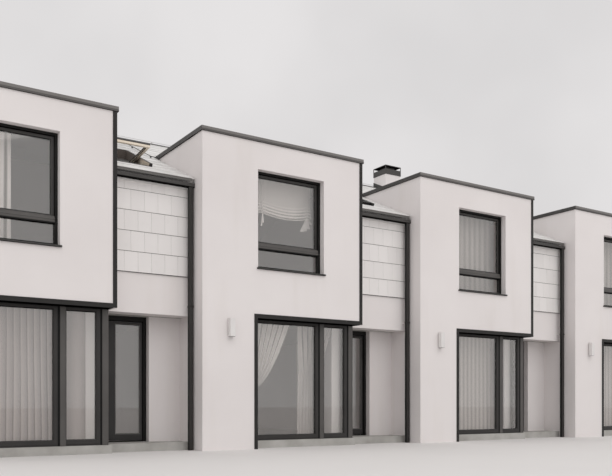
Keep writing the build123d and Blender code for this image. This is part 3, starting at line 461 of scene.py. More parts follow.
# Painted light: a lighter copy of the sash metal where sky lights the weather bars
# and transom covers; the post plates take the same lighter tone
TRIM_METAL = coated_metal("trim_coating_and_painted_light", (0.070, 0.0655, 0.062), (0.085, 0.0795, 0.076), 0.4, 0.4)
GLAZING_METAL = coated_metal(
    "glazing_coating", (0.026, 0.0245, 0.0235), (0.034, 0.032, 0.031), 0.42)
WHITE_METAL = coated_metal("white_coated_metal", (0.70, 0.68, 0.67), (0.76, 0.74, 0.73), 0.4, 0.4)
DOOR_LEAF = coated_metal("door_coating", (0.02, 0.019, 0.019), (0.029, 0.0275, 0.027), 0.38)
PIPE_METAL = pipe_metal()
RUBBER = clouded(
    "black_rubber", (30, 4), (0.004, 0.004, 0.004), (0.009, 0.009, 0.009),
    spread=((60, 3), 0.65, 0.85), Specular_IOR_Level=0.2)
CONDUCTOR = conductor()
MEMBRANE = membrane()
BRUSH = (60, 3, (30, 30, 1))
STEEL = clouded(
    "brushed_steel", BRUSH, (0.5, 0.5, 0.50), (0.62, 0.61, 0.60),
    spread=(BRUSH, 0.22, 0.38), Metallic=1.0, Anisotropic=0.5)
PINE = pine("varnished_pine", (0.74, 0.64, 0.51), (0.88, 0.80, 0.68))
PINE_PAINTED_SHADE = pine_painted_shade()
GLASS = window_glass("window_glass")
ROOF_GLASS = window_glass("roof_window_glass", (0.99, 0.99, 0.99), 1.3, 0.02)
PALE_CLOTH = sheer("pale_curtain", (0.95, 0.93, 0.91), 0.99)
LILAC_CLOTH = sheer("lilac_curtain", (0.5, 0.455, 0.445), 0.97)
SHEER_CLOTH = sheer("sheer_curtain", (0.80, 0.77, 0.75), 0.72)


def each(name):
    """The nodes of the four houses that share a name."""
    return [f"{name}_{house + 1}" for house in range(HOUSES)]


# What the model's own nodes are made of, with the width of their rounded edges
FINISHES = [
    (RENDER, 0, [
        "party_walls", "bay_side_walls", "bay_parapets", "front_piers", "bay_front_walls",
        "porch_walls", "recess_walls", "garden_wall", "chimney_stacks",
    ]),
    (PILLAR_RENDER, 0, ["porch_side_walls"]),
    (CONCRETE, 0, ["ground_slabs", "upper_floors"]),
    (ROOF_TILE, 0, ["front_roof_slope", "garden_roof_slope", "recess_roofs"]),
    (MEMBRANE, 0, ["bay_roofs"]),
    (BAND_METAL, 0.002, ["bay_edge_bands"]),
    (PIPE_METAL, 0.008, ["downpipes"]),
    (GUTTER_METAL, 0, ["roof_window_flashings", "chimney_flashings"]),
    (GUTTER_METAL, 0.0015, ["ridge_cap", "roof_window_covers"]),
    (GUTTER_METAL, 0.003, ["gutters", "chimney_collars", "chimney_caps", "side_copings"]),
    (COPING_METAL, 0.003, ["front_copings"]),
    (SASH_METAL, 0.003, ["window_sills"]),
    (STRIP_METAL, 0.002, ["eaves_strips"]),
    (CONDUCTOR, 0, ["lightning_conductors"]),
    (FRAME_BLACK, 0.0015, ["window_frames", "entrance_frames"]),
    (GLAZING_METAL, 0.0015, ["glazing_frames"]),
    (WHITE_METAL, 0.002, ["wall_lamps"]),
    (WHITE_METAL, 0, ["curtain_tracks"]),
    (DOOR_LEAF, 0.0014, each("front_door")),
    (STEEL, 0.0016, each("door_handle")),
    (PINE, 0.002, ["roof_window_sashes"]),
    (PINE_PAINTED_SHADE, 0.002, ["roof_window_frames"]),
    (ROOF_GLASS, 0, ["roof_window_panes"]),
    (GLASS, 0, ["window_panes", "glazing_panes", *each("door_pane")]),
]
JOIN_DISTANCE = 0.00001


def bevelled(made, width):
    """Rounds a piece's edges by a small width."""
    edge = made.modifiers.new("rounded edges", "BEVEL")
    edge.width = width
    edge.limit_method = "ANGLE"
    edge.angle_limit = radians(35)
    return made


def finish_nodes():
    """Gives the nodes their materials, and joins their facets' corners to round their edges."""
    for material, width, names in FINISHES:
        for node in [nodes[name] for name in names]:
            node.data.materials.clear()
            node.data.materials.append(material)
            if width:
                node.modifiers.new("joined corners", "WELD").merge_threshold = JOIN_DISTANCE
                bevelled(node, width)
    pipe_edge = nodes["downpipes"].modifiers["rounded edges"]
    pipe_edge.segments = 2
    pipe_edge.use_clamp_overlap = False


# Pieces
def in_scene(name, data):
    """A new object, linked into the scene."""
    made = bpy.data.objects.new(name, data)
    bpy.context.scene.collection.objects.link(made)
    return made


def finish_piece(name, mesh, material, body="row"):
    """A new piece from a mesh, with what it is made of and moves with."""
    mesh.materials.append(material)
    made = in_scene(name, mesh)
    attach(made, body)
    return made


class Shape:
    """The faces of a new piece, gathered from closed forms. A surface is a function from
    (x, v, out) to the frame: v runs up it and out stands away from it."""

    def __init__(self):
        self.vertices = []
        self.faces = []

    def prism(self, low, high):
        """A solid between two outlines with as many corners."""
        first, count = len(self.vertices), len(low)
        self.vertices += [*low, *high]
        self.faces.append(tuple(range(first, first + count)))
        self.faces.append(tuple(range(first + count, first + 2 * count)))
        for corner in range(count):
            here, after = first + corner, first + (corner + 1) % count
            self.faces.append((here, after, after + count, here + count))

    def box(self, surface, x, v, out):
        """A block between low and high values on a surface."""
        corners = [(x[0], v[0]), (x[1], v[0]), (x[1], v[1]), (x[0], v[1])]
        self.prism(*[[surface(*corner, height) for corner in corners] for height in out])

    def bar(self, surface, x, outline):
        """A profile of (v, out) points run along x."""
        self.prism(*[[surface(end, *corner) for corner in outline] for end in x])

    def border(self, surface, outer, inner, profile):
        """A profile run round with mitred corners: (share of the way in, out) points."""
        first, count = len(self.vertices), len(profile)
        for share, out in profile:
            (x0, x1), (v0, v1) = [
                [between(a, b, share) for a, b in zip(wide, narrow)]
                for wide, narrow in zip(outer, inner)
            ]
            corners = ((x0, v0), (x1, v0), (x1, v1), (x0, v1))
            self.vertices += [surface(x, v, out) for x, v in corners]
        for step in range(count):
            here, after = first + 4 * step, first + 4 * ((step + 1) % count)
            for one, next_one in ((0, 1), (1, 2), (2, 3), (3, 0)):
                self.faces.append((here + one, here + next_one, after + next_one, after + one))

    def piece(self, name, material, slot, edge=0.0, body="row"):
        """Makes the piece, with its faces turned outwards and its edges rounded by a width."""
        mesh = bpy.data.meshes.new(name)
        mesh.from_pydata(self.vertices, [], self.faces)
        shell = bmesh.new()
        shell.from_mesh(mesh)
        bmesh.ops.recalc_face_normals(shell, faces=shell.faces)
        shell.to_mesh(mesh)
        shell.free()
        made = finish_piece(name, mesh, material, body)
        return bevelled(made, edge) if edge else made


def street(y):
    """A surface that faces the street, at a distance y behind the bays' fronts."""
    return lambda x, z, out: place(x, y - out, z)


def garden(y):
    """A surface that faces the garden."""
    return lambda x, z, out: place(x, y + out, z)


def sideways(x):
    """A surface that faces along the row, with its own x towards the garden."""
    return lambda y, z, out: place(x + out, y, z)


def level(z):
    """A level surface at a height, whose v runs towards the garden."""
    return lambda x, y, out: place(x, y, z + out)


# Tiles. Cut pieces smaller than SLIVER are left out
SLIVER = 0.012


def overlap(span, other):
    """Whether two spans share more than an end."""
    return span[0] < other[1] and span[1] > other[0]


def outside(span_x, span_v, holes):
    """What is left of a rectangle beside rectangular holes, as smaller rectangles."""
    for hole_x, hole_v in holes:
        if overlap(span_x, hole_x) and overlap(span_v, hole_v):
            inner_x = (max(span_x[0], hole_x[0]), min(span_x[1], hole_x[1]))
            parts = [
                ((span_x[0], min(span_x[1], hole_x[0])), span_v),
                ((max(span_x[0], hole_x[1]), span_x[1]), span_v),
                (inner_x, (span_v[0], min(span_v[1], hole_v[0]))),
                (inner_x, (max(span_v[0], hole_v[1]), span_v[1])),
            ]
            wide = [part for part in parts if min(high - low for low, high in part) > SLIVER]
            return [rest for part in wide for rest in outside(*part, holes)]
    return [(span_x, span_v)]


def tile_field(shape, field_x, field_v, offsets, surface, gaps, holes=()):
    """Covers a rectangle with courses of tiles, from the low v up, cut at its edges and holes."""
    gap_x, gap_v = gaps
    for course in range(int((field_v[1] - field_v[0]) / COURSE) + 1):
        low = field_v[0] + course * COURSE
        offset = offsets[course % 2]
        first, last = [floor((edge - offset) / TILE_WIDTH) for edge in field_x]
        for column in range(first, last + 1):
            left = offset + column * TILE_WIDTH
            whole_x = (max(left, field_x[0]), min(left + TILE_WIDTH, field_x[1]))
            span_x = shrink(whole_x, gap_x / 2)
            span_v = (low + gap_v, min(low + COURSE, field_v[1]))
            if min(span_x[1] - span_x[0], span_v[1] - span_v[0]) < SLIVER:
                continue
            for part_x, part_v in outside(span_x, span_v, holes):
                shares = [(v - low) / COURSE for v in part_v]
                heights = [between(TILE_LOW_EDGE, TILE_HIGH_EDGE, share) for share in shares]
                corners = [(part_x[0], 0), (part_x[1], 0), (part_x[1], 1), (part_x[0], 1)]
                lower = [surface(x, part_v[end], 0) for x, end in corners]
                upper = [surface(x, part_v[end], heights[end]) for x, end in corners]
                shape.prism(lower, upper)


def cladding():
    """The tiles of the recesses, on a backing darkened as painted shade in their joints."""
    face, back = extent("recess_cladding", "y")
    sheet_face = face + TILE_LOW_EDGE
    field_z = extent("recess_cladding", "z")
    tiles, backing = Shape(), Shape()
    for start in HOUSE_STARTS:
        span = (start + BAY_WIDTH, start + HOUSE_PITCH)
        backing.box(street(back), span, field_z, (0, back - sheet_face))
        offsets = [span[1] + joint for joint in CLADDING_JOINTS]
        tile_field(tiles, span, field_z, offsets, street(sheet_face), CLADDING_GAPS)
    for made in (
        tiles.piece("cladding_tiles", CLADDING_TILE, "white_tile", TILE_BEVEL),
        backing.piece("cladding_backing_painted_shade", BACKING_PAINTED_SHADE, "dark_metal"),
    ):
        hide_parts("recess_cladding")


def first_house(name):
    """The span along the row of the first of a node's four like solids."""
    left, right = extent(name, "x")
    return (left, right - (HOUSES - 1) * HOUSE_PITCH)


# The tiles of the roofs, laid on their upper faces
def roof_surface(behind):
    """The upper face of the street's slope, with v up it, or of the garden's, its mirror."""
    def surface(x, v, out):
        run = v / ROOF_STRETCH
        y = run - out * ROOF_RISE / ROOF_STRETCH
        z = EAVES_TOP + (run - EAVES_FRONT) * ROOF_RISE + out / ROOF_STRETCH
        return place(x, 2 * RIDGE - y if behind else y, z)
    return surface


def roof_spans(name, margin):
    """The rectangles that the like solids of a node cover on the street's slope, in x and v."""
    front, back = extent(name, "y")
    span_v = tuple(y * ROOF_STRETCH for y in (front - margin, min(back, RIDGE) + margin))
    span_x = shrink(first_house(name), -margin)
    return [(moved(span_x, start), span_v) for start in HOUSE_STARTS]


COPING_OVERHANG = 0.025
COPING_BACK = EAVES_FRONT + (extent("side_copings", "z")[1] - EAVES_TOP) / ROOF_RISE
FLASHING_GAP = 0.004
RIDGE_LAP = 0.12
STREET_LAP = 0.15
GARDEN_LAP = 0.13


def roof_tiles():
    """The tiles of both slopes, left out where windows, chimneys, copings and bays stand."""
    coping_v = (0, (COPING_BACK + FLASHING_GAP) * ROOF_STRETCH)
    bay_v = (0, SLOPE_START * ROOF_STRETCH)
    walls = ((0, PARTY_WALL), (BAY_INNER_RIGHT, BAY_WIDTH))
    holes = [
        *roof_spans("roof_window_flashings", FLASHING_GAP),
        *roof_spans("chimney_flashings", 0.0),
        *[(shrink(moved(wall, start), -COPING_OVERHANG), coping_v)
          for start in HOUSE_STARTS for wall in walls],
        *[((start, start + BAY_WIDTH), bay_v) for start in HOUSE_STARTS],
        ((HOUSES * HOUSE_PITCH, ROW_LENGTH), bay_v),
    ]
    garden_low = 2 * RIDGE - GARDEN_EAVES - GARDEN_LAP
    for name, low, behind, kept_free in (
        ("street_roof_tiles", RECESS_ROOF_FRONT - STREET_LAP, False, holes),
        ("garden_roof_tiles", garden_low, True, ()),
    ):
        field_v = (low * ROOF_STRETCH, (RIDGE - RIDGE_LAP) * ROOF_STRETCH)
        tiles = Shape()
        tile_field(tiles, (0, ROW_LENGTH), field_v, (0.0, TILE_WIDTH / 2),
                   roof_surface(behind), ROOF_GAPS, kept_free)
        tiles.piece(name, ROOF_TILE, "roof_tile", TILE_BEVEL)


# Welded seams on the flat roofs of the bays, running back from the street
SEAMS = 2
SEAM_SPACING = 0.98
SEAM_SIZE = (0.05, 0.002)
SEAM_END = 0.35


def roof_seams():
    """The welded seams of the bays' flat roofs."""
    front, back = extent("bay_roofs", "y")
    surface = level(extent("bay_roofs", "z")[1])
    seams = Shape()
    for start in HOUSE_STARTS:
        for step in range(SEAMS):
            left = start + PARTY_WALL + (step + 1) * SEAM_SPACING
            span_x = (left, left + SEAM_SIZE[0])
            seams.box(surface, span_x, (front, back - SEAM_END), (0, SEAM_SIZE[1]))
    seams.piece("roof_seams", MEMBRANE, "roof_membrane")


# The profiles and seals of the windows: (share, height) points. Shares run from a border's outer
# edge to its inner one, and heights stand above the face that the border lies on
SUNK = 0.0005
SASH_PROFILE = [(0.04, -SUNK), (0.10, 0.006), (0.86, 0.006), (1.0, 0.0), (1.0, -SUNK)]
FACE_PROFILE = [(0.03, -SUNK), (0.09, 0.006), (0.90, 0.006), (1.0, 0.0), (1.0, -SUNK)]
BEAD_PROFILE = [(0, -SUNK), (0, 0.024), (0.35, 0.026), (1, 0.008), (1, -SUNK)]
DOOR_BEAD_PROFILE = [(0, -SUNK), (0, 0.019), (0.5, 0.019), (1, 0.008), (1, -SUNK)]
SEAL_PROFILE = [(0, -SUNK), (0, 0.007), (1, 0.003), (1, -SUNK)]
SASH_SEAL_PROFILE = [(0, -SUNK), (0, 0.009), (1, 0.004), (1, -SUNK)]
BEAD_WIDTH = 0.006
DOOR_BEAD_WIDTH = 0.014
SEAL_WIDTH = 0.004

# The weather bar as (rise, out) points, and the flush cover of the transom
WEATHER_BAR = [(0.0, -0.0395), (0.0, 0.004), (0.056, -0.002), (0.068, -0.034), (0.070, -0.0395)]
WEATHER_BAR_RISE = 0.003
WEATHER_BAR_INSET = 0.004
TRANSOM_COVER_Z = (TRANSOM[0] + 0.022, TRANSOM[1] + 0.001)
TRANSOM_COVER_OUT = (-SUNK, 0.004)
TRANSOM_COVER_INSET = 0.001


def lowered(profile, setback):
    """A profile for a border on a face that lies back by so much."""
    return [(share, height - setback) for share, height in profile]


def glazed(beads, seals, surface, hole, setback, width=BEAD_WIDTH, profile=BEAD_PROFILE):
    """A bevelled bead round a pane inside its hole, and a rubber seal on the glass."""
    bead = inset(hole, width)
    beads.border(surface, hole, bead, lowered(profile, setback))
    seals.border(surface, bead, inset(bead, SEAL_WIDTH), lowered(SEAL_PROFILE, setback))


def window_dressing(sashes, trims, seals, surface, x, z, fixed_light=False):
    """The sash's face, its seal and weather bar, and the bead of a fixed light below it."""
    sash_x = shrink(x, WINDOW_FRAME)
    sash_z = (TRANSOM[1] if fixed_light else z[0] + WINDOW_FRAME, z[1] - WINDOW_FRAME)
    glass = (shrink(sash_x, SASH_FRAME), (sash_z[0] + SASH_FOOT, sash_z[1] - SASH_FRAME))
    sashes.border(surface, (sash_x, sash_z), glass, lowered(SASH_PROFILE, SASH_SETBACK))
    seal_profile = lowered(SASH_SEAL_PROFILE, PANE_SETBACK)
    seals.border(surface, glass, inset(glass, SEAL_WIDTH), seal_profile)
    foot = sash_z[0] + WEATHER_BAR_RISE
    bar = [(foot + rise, out) for rise, out in WEATHER_BAR]
    trims.bar(surface, shrink(sash_x, WEATHER_BAR_INSET), bar)
    if fixed_light:
        cover_x = shrink(sash_x, TRANSOM_COVER_INSET)
        trims.box(surface, cover_x, TRANSOM_COVER_Z, TRANSOM_COVER_OUT)
        light = (sash_x, (z[0] + WINDOW_FRAME, TRANSOM[0]))
        glazed(sashes, seals, surface, light, PANE_SETBACK)


STILE_EDGES = [(1.178, 2.715), (2.853, 3.44)]
STILE_Z = (GROUND_FLOOR + 0.02, SOFFIT - 0.012)
CORNER_STILE = 0.04
TERRACE_STILE = 0.045
POST_Z = (GROUND_FLOOR + 0.002, SOFFIT - 0.009)
POST_PLATES = [(2.755, 2.851), (3.474, 3.583)]
POST_PLATE_OUT = (-SUNK, 0.009)
# Black strips, as painted shade in the grooves beside the posts
GROOVE_PAINTED_SHADE = [(2.717, 2.753), (3.442, 3.472)]
GROOVE_PAINTED_SHADE_OUT = (-SUNK, 0.0012)


def glazing_dressing(faces, posts, beads, seals, start):
    """The stiles and posts of one bay's ground floor glazing, and painted shade in its joints."""
    front, corner = street(GLAZING_FACE), sideways(start + GLAZING_RIGHT)
    lights = [(front, moved(light, start), moved(stile, start))
              for light, stile in zip(GLAZING_LIGHTS, STILE_EDGES)]
    lights.append((corner, CORNER_LIGHT, shrink(CORNER_LIGHT, -CORNER_STILE)))
    for surface, light, stile in lights:
        hole = (light, GLAZING_Z)
        faces.border(surface, (stile, STILE_Z), hole, FACE_PROFILE)
        glazed(beads, seals, surface, hole, GLAZING_PANE)
    for span in POST_PLATES:
        posts.box(front, moved(span, start), POST_Z, POST_PLATE_OUT)
    # Painted shade: black strips stand in for the shade in the grooves beside the posts
    for span in GROOVE_PAINTED_SHADE:
        seals.box(front, moved(span, start), POST_Z, GROOVE_PAINTED_SHADE_OUT)


def windows():
    """What the frames of all windows, street glazings and terrace doors carry."""
    sashes, trims, seals, faces, posts, beads = [Shape() for _ in range(6)]
    back = garden(ROW_DEPTH - WINDOW_REVEAL)
    for start in HOUSE_STARTS:
        window = moved(WINDOW_X, start)
        window_dressing(sashes, trims, seals, street(WINDOW_REVEAL), window, WINDOW_Z, True)
        for span_x, span_z in GARDEN_WINDOWS:
            window_dressing(sashes, trims, seals, back, moved(span_x, start), span_z)
        glazing_dressing(faces, posts, beads, seals, start)
        for light in TERRACE_LIGHTS:
            hole = (moved(light, start), TERRACE_Z)
            faces.border(back, inset(hole, -TERRACE_STILE), hole, FACE_PROFILE)
            glazed(beads, seals, back, hole, GLAZING_PANE)
    for shape, name, material, edge in (
        (sashes, "sash_faces", SASH_METAL, 0.001), (trims, "weather_bars", TRIM_METAL, 0.001),
        (seals, "glass_seals_and_groove_shade", RUBBER, 0), (faces, "glazing_faces", GLAZING_METAL, 0.001),
        (posts, "post_covers", TRIM_METAL, 0.002), (beads, "glazing_beads", SASH_METAL, 0.001),
    ):
        shape.piece(name, material, "dark_frame", edge)


# The doors: a bead and a seal round the pane, and a lock under the handle
DOOR_FACE = 1.16
DOOR_PANE_X = (4.02, 4.51)
DOOR_PANE_Z = (0.29, 2.36)
DOOR_PANE_SETBACK = 0.02
LOCK_PLACE = (3.814, 0.82)
LOCK_RADIUS = 0.026
LOCK_DEPTH = 0.009
LOCK_ROUNDING = 0.003
LOCK_NOSE_WIDTH = 0.011
LOCK_NOSE_OUT = (0.008, 0.0125)


def disc(surface, x, z, radius, out, count=32):
    """The corners of a circle on a surface."""
    turns = [2 * pi * corner / count for corner in range(count)]
    return [surface(x + radius * cos(turn), z + radius * sin(turn), out) for turn in turns]


def door_dressing():
    """What each door carries, which moves with it."""
    surface = street(DOOR_FACE)
    for house, start in enumerate(HOUSE_STARTS):
        body = f"door_{house + 1}"
        beads, seals, lock = Shape(), Shape(), Shape()
        hole = (moved(DOOR_PANE_X, start), DOOR_PANE_Z)
        glazed(beads, seals, surface, hole, DOOR_PANE_SETBACK, DOOR_BEAD_WIDTH, DOOR_BEAD_PROFILE)
        x, z = start + LOCK_PLACE[0], LOCK_PLACE[1]
        lock.prism(disc(surface, x, z, LOCK_RADIUS, -SUNK),
                   disc(surface, x, z, LOCK_RADIUS - LOCK_ROUNDING, LOCK_DEPTH))
        nose_x, nose_z = around(x, LOCK_NOSE_WIDTH), around(z, 2 * LOCK_NOSE_WIDTH)
        lock.box(surface, nose_x, nose_z, LOCK_NOSE_OUT)
        beads.piece(f"door_bead_{house + 1}", STRIP_METAL, "door_leaf", 0.001, body)
        seals.piece(f"door_seal_{house + 1}", RUBBER, "door_leaf", body=body)
        lock.piece(f"door_lock_{house + 1}", STEEL, "brushed_steel", 0.0008, body)


# Straps that clip the downpipes to their brackets, and lenses in the wall lamps
STREET_STRAPS = (2.648,)
GARDEN_STRAPS = (0.598, 2.398, 4.198)
STRAP_HEIGHT = 0.034
STRAP_SHEET = 0.002
STRAP_GRIP = 0.001
LENS_SIZE = (0.091, 0.081, 0.008)
LENS_PLACE = (0.57, -0.0655)
LENS_HEIGHTS = (2.125, 2.427)


def small_parts():
    """The downpipes' straps and the lamps' lenses."""
    straps, lenses = Shape(), Shape()
    garden_pipe_y = [2 * RIDGE - y for y in reversed(STREET_PIPE_Y)]
    for start in HOUSE_STARTS:
        for span_y, heights in ((STREET_PIPE_Y, STREET_STRAPS), (garden_pipe_y, GARDEN_STRAPS)):
            for low in heights:
                pipe = (moved(PIPE_X, start), span_y)
                high = low + STRAP_HEIGHT
                profile = [(0, low), (0, high), (1, high), (1, low)]
                straps.border(level(0), inset(pipe, -STRAP_SHEET), inset(pipe, STRAP_GRIP), profile)
        lens_x = around(start + LENS_PLACE[0], LENS_SIZE[0])
        lens_y = around(LENS_PLACE[1], LENS_SIZE[1])
        for height in LENS_HEIGHTS:
            lenses.box(level(0), lens_x, lens_y, (height, height + LENS_SIZE[2]))
    straps.piece("pipe_straps", BAND_METAL, "dark_metal", 0.001)
    lenses.piece("lamp_lenses", WHITE_METAL, "white_metal")


# The folded foot of the coping sheets, along their street faces, darker as painted shade
DRIP_SHARE = 0.42
DRIP_SHEET = 0.002


def coping_drips():
    """A fold along the foot of each street coping."""
    face = street(extent("front_copings", "y")[0])
    low, high = extent("front_copings", "z")
    span_z = (low, between(low, high, DRIP_SHARE))
    drips = Shape()
    for start in HOUSE_STARTS:
        span_x = moved(first_house("front_copings"), start)
        drips.box(face, span_x, span_z, (-SUNK, DRIP_SHEET))
    drips.piece("coping_drips", DRIP_PAINTED_SHADE_METAL, "dark_metal", 0.001)


# The roof windows: seals on both sides of the panes, from back to front, seals below the closed
# sashes, and dark plates on the frames' lower corners
ROOF_WINDOW_MIDDLE_X = 4.23
ROOF_WINDOW_FOOT = 0.865
ROOF_WINDOW_LENGTH = 1.4
ROOF_GLASS_SIZE = (0.598, 1.218)
ROOF_SEALS = ((-0.0135, -0.024), (0.0135, 0.036))
ROOF_SEAL_WIDTH = 0.009
ROOF_SEAL_EDGE = 0.3
PIVOT_HEIGHT = 0.023
SASH_OPEN = 30
PLATE_SIDES = ((-0.3545, -0.3515), (0.3515, 0.3545))
PLATE_V = (-0.699, -0.6635)
PLATE_OUT = (0.01, 0.0565)
FOOT_SEAL = ((-0.348, 0.348), (-0.6635, -0.6592), (-0.0125, 0.0125))


def window_surface(house):
    """The roof's upper face, measured from the middle of a house's roof window."""
    roof = roof_surface(False)
    middle_v = ROOF_WINDOW_FOOT * ROOF_STRETCH + ROOF_WINDOW_LENGTH / 2
    return lambda x, v, out: roof(HOUSE_STARTS[house] + ROOF_WINDOW_MIDDLE_X + x, middle_v + v, out)


def sash_surface(house):
    """The middle plane of a roof window's sash, measured from its middle: the first stands open."""
    window = window_surface(house)
    turn = radians(-SASH_OPEN if house == 0 else 0)

    def surface(x, v, out):
        turned_v = v * cos(turn) - out * sin(turn)
        turned_out = v * sin(turn) + out * cos(turn)
        return window(x, turned_v, PIVOT_HEIGHT + turned_out)
    return surface


def roof_window_trims():
    """The seals and corner plates of the roof windows."""
    seals, plates = Shape(), Shape()
    glass = tuple(around(0, size) for size in ROOF_GLASS_SIZE)
    for house in range(HOUSES):
        for rear, front in ROOF_SEALS:
            edge = between(rear, front, ROOF_SEAL_EDGE)
            profile = [(0, rear), (0, front), (1, edge), (1, rear)]
            seals.border(sash_surface(house), glass, inset(glass, ROOF_SEAL_WIDTH), profile)
        for side in PLATE_SIDES:
            plates.box(window_surface(house), side, PLATE_V, PLATE_OUT)
        if house > 0:
            seals.box(sash_surface(house), *FOOT_SEAL)
    seals.piece("roof_window_seals", RUBBER, "dark_frame")
    plates.piece("roof_window_corners", BAND_METAL, "dark_metal", 0.0008)


# Curtains. Each has a form: a function from the shares (across, down) to its x, depth and z
CURTAIN_STEP = 0.007
CURTAIN_ROWS = 48
LOWER, UPPER = "lower_curtains", "upper_curtains"
LOWER_LEFT = extent(LOWER, "x")[0]
LOWER_RIGHT = BAY_INNER_RIGHT - 0.03
UPPER_LEFT = extent(UPPER, "x")[0]
UPPER_RIGHT = UPPER_LEFT + 1.571
MAIN_LIGHT_RIGHT = 2.74

# How folds wander, how sharp creases are, and how a tied curtain spreads below its tie
DRIFT_SCALE = (1.7, 7.3)
FOLD_DRIFT = 0.22
CREASE_POWER = 0.2
TIE_SPREAD = (0.02, 0.08)
FAN_POWER = 0.6


def soft(x, seed, down=0.0):
    """A slow irregular drift, which differs from curtain to curtain."""
    return noise.noise(Vector((x * DRIFT_SCALE[0], seed * DRIFT_SCALE[1], down)))


def hanging(left, right, heights, fold, depth, seed, crease=False):
    """Even folds from a track, rounded, or with sharp creases between flat bands."""
    foot, top = heights

    def form(across, down):
        x = between(left, right, across)
        phase = pi * (x / fold + FOLD_DRIFT * soft(x, seed, down * 0.8) * (0.3 + down))
        wave = 0.5 - abs(sin(phase)) ** CREASE_POWER if crease else sin(2 * phase) / 2
        swell = 0.7 + 0.3 * down + 0.2 * soft(x, seed + 3, down)
        return x, 2 * depth * swell * wave, between(top, foot, down)
    return form


def tied(left, right, tie_x, heights, tie_z, folds, depth, seed, left_hangs=False):
    """A curtain drawn aside by a tie: its folds fan out from the tie up to the track.
    Where its left edge hangs straight, the folds crowd at the right one."""
    foot, top = heights

    def form(across, down):
        z = between(top, foot, down)
        rise = max(0.0, (z - tie_z) / (top - tie_z))
        spread = max(0.0, (tie_z - z) / (tie_z - foot)) ** 0.5
        fan = rise ** FAN_POWER
        edge_left = between(tie_x[0] - TIE_SPREAD[0] * spread, left, fan)
        edge_right = between(tie_x[1] + TIE_SPREAD[1] * spread, right, fan)
        if left_hangs:
            edge_left = left
            crowding = between(0.5, 0.9, spread) if spread else between(0.5, 1.0, fan)
        else:
            crowding = 1.0
        x = between(edge_left, edge_right, across ** crowding)
        tight = 1.25 - 0.5 * min(1.0, rise * 1.4)
        phase = 2 * pi * folds * (across + 0.02 * soft(across * 5, seed, down))
        return x, depth * tight * sin(phase) + 0.004 * soft(x * 6, seed, down * 3), z
    return form


# The tied-up shade: its ribbons, its hem between them, and its pleats and gathers
RIBBONS = (1.555, 2.6)
HEM_HEIGHT = 4.655
HEM_SAG = 0.07
PLEAT_REACH = 0.26
PLEAT_PITCH = 0.062
PLEAT_DEPTH = 0.016
PLEAT_LEAN = 0.014
GATHER_REACH = 0.13
GATHER_PITCH = 0.028
GATHER_DEPTH = 0.009


def tied_up(left, right, top, seed):
    """A shade drawn up by two ribbons, with pleats lying across it above the sagging hem."""
    def form(across, down):
        x = between(left, right, across)
        share = (x - RIBBONS[0]) / (RIBBONS[1] - RIBBONS[0])
        swag = sin(pi * min(1.0, max(0.0, share))) ** 0.8 * (0.75 + 0.35 * share)
        bottom = HEM_HEIGHT - HEM_SAG * swag
        z = between(top, bottom, down)
        above = z - bottom
        pleats = max(0.0, 1 - above / PLEAT_REACH)
        near = sum(max(0.0, 1 - abs(x - ribbon) / GATHER_REACH) for ribbon in RIBBONS)
        gathers = GATHER_DEPTH * sin(2 * pi * x / GATHER_PITCH) * near * (0.3 + 0.7 * pleats)
        phase = 2 * pi * above / PLEAT_PITCH + 0.6 * soft(x, seed)
        waves = PLEAT_DEPTH * pleats * sin(phase) - PLEAT_LEAN * pleats
        return x, waves + gathers + 0.004 * soft(x * 2, seed, down * 2), z
    return form


def curtain(name, form, node, start, width, cloth):
    """A sheet of cloth made by a form, with its columns spaced along its given flat width."""
    middle = between(*extent(node, "y"), 0.5)
    columns = round(width / CURTAIN_STEP)
    stride = columns + 1
    vertices = []
    for row in range(CURTAIN_ROWS + 1):
        for column in range(stride):
            x, depth, z = form(column / columns, row / CURTAIN_ROWS)
            vertices.append(Vector(place(start + x, middle + depth, z)))
    faces = []
    for row in range(CURTAIN_ROWS):
        for column in range(columns):
            above, below = row * stride + column, (row + 1) * stride + column
            faces.append((above, below, below + 1, above + 1))
    mesh = bpy.data.meshes.new(name)
    mesh.from_pydata(vertices, [], faces)
    mesh.shade_smooth()
    made = finish_piece(name, mesh, cloth)
    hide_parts(node)
    return made


# The ribbons' knots at (x, z) places, with tails of (sideways, length, width)
KNOTS = [
    (RIBBONS[0], 4.66, [(-0.03, 0.27, 0.03), (0.015, 0.2, 0.03)]),
    (RIBBONS[1], 4.69, [
        (-0.12, 0.3, 0.09), (-0.05, 0.28, 0.1), (0.03, 0.23, 0.1), (0.09, 0.13, 0.09),
    ]),
]
KNOT_SIZE = (0.048, 0.04)
KNOT_HEART = (0.016, 0.012)
KNOT_PROFILE = [(0, -0.006), (0.2, 0.006), (1, 0.009), (1, -0.006)]
RIBBON_TOP = 5.3
RIBBON_WIDTH = 0.018
RIBBON_SHEET = 0.0015
RIBBON_FACE = 0.036
TAIL_ROOT = 0.016
TAIL_BEND = (0.45, 0.5, 0.65)


def ribbon(shape, surface, ends, widths, lean):
    """A thin strip between two (x, z) places, with a width at each, that leans out to the right."""
    (x0, z0), (x1, z1) = ends
    (left0, right0), (left1, right1) = around(x0, widths[0]), around(x1, widths[1])
    corners = [(left0, z0, 0), (right0, z0, lean), (right1, z1, lean), (left1, z1, 0)]
    shape.prism([surface(*corner) for corner in corners],
                [surface(x, z, out + RIBBON_SHEET) for x, z, out in corners])


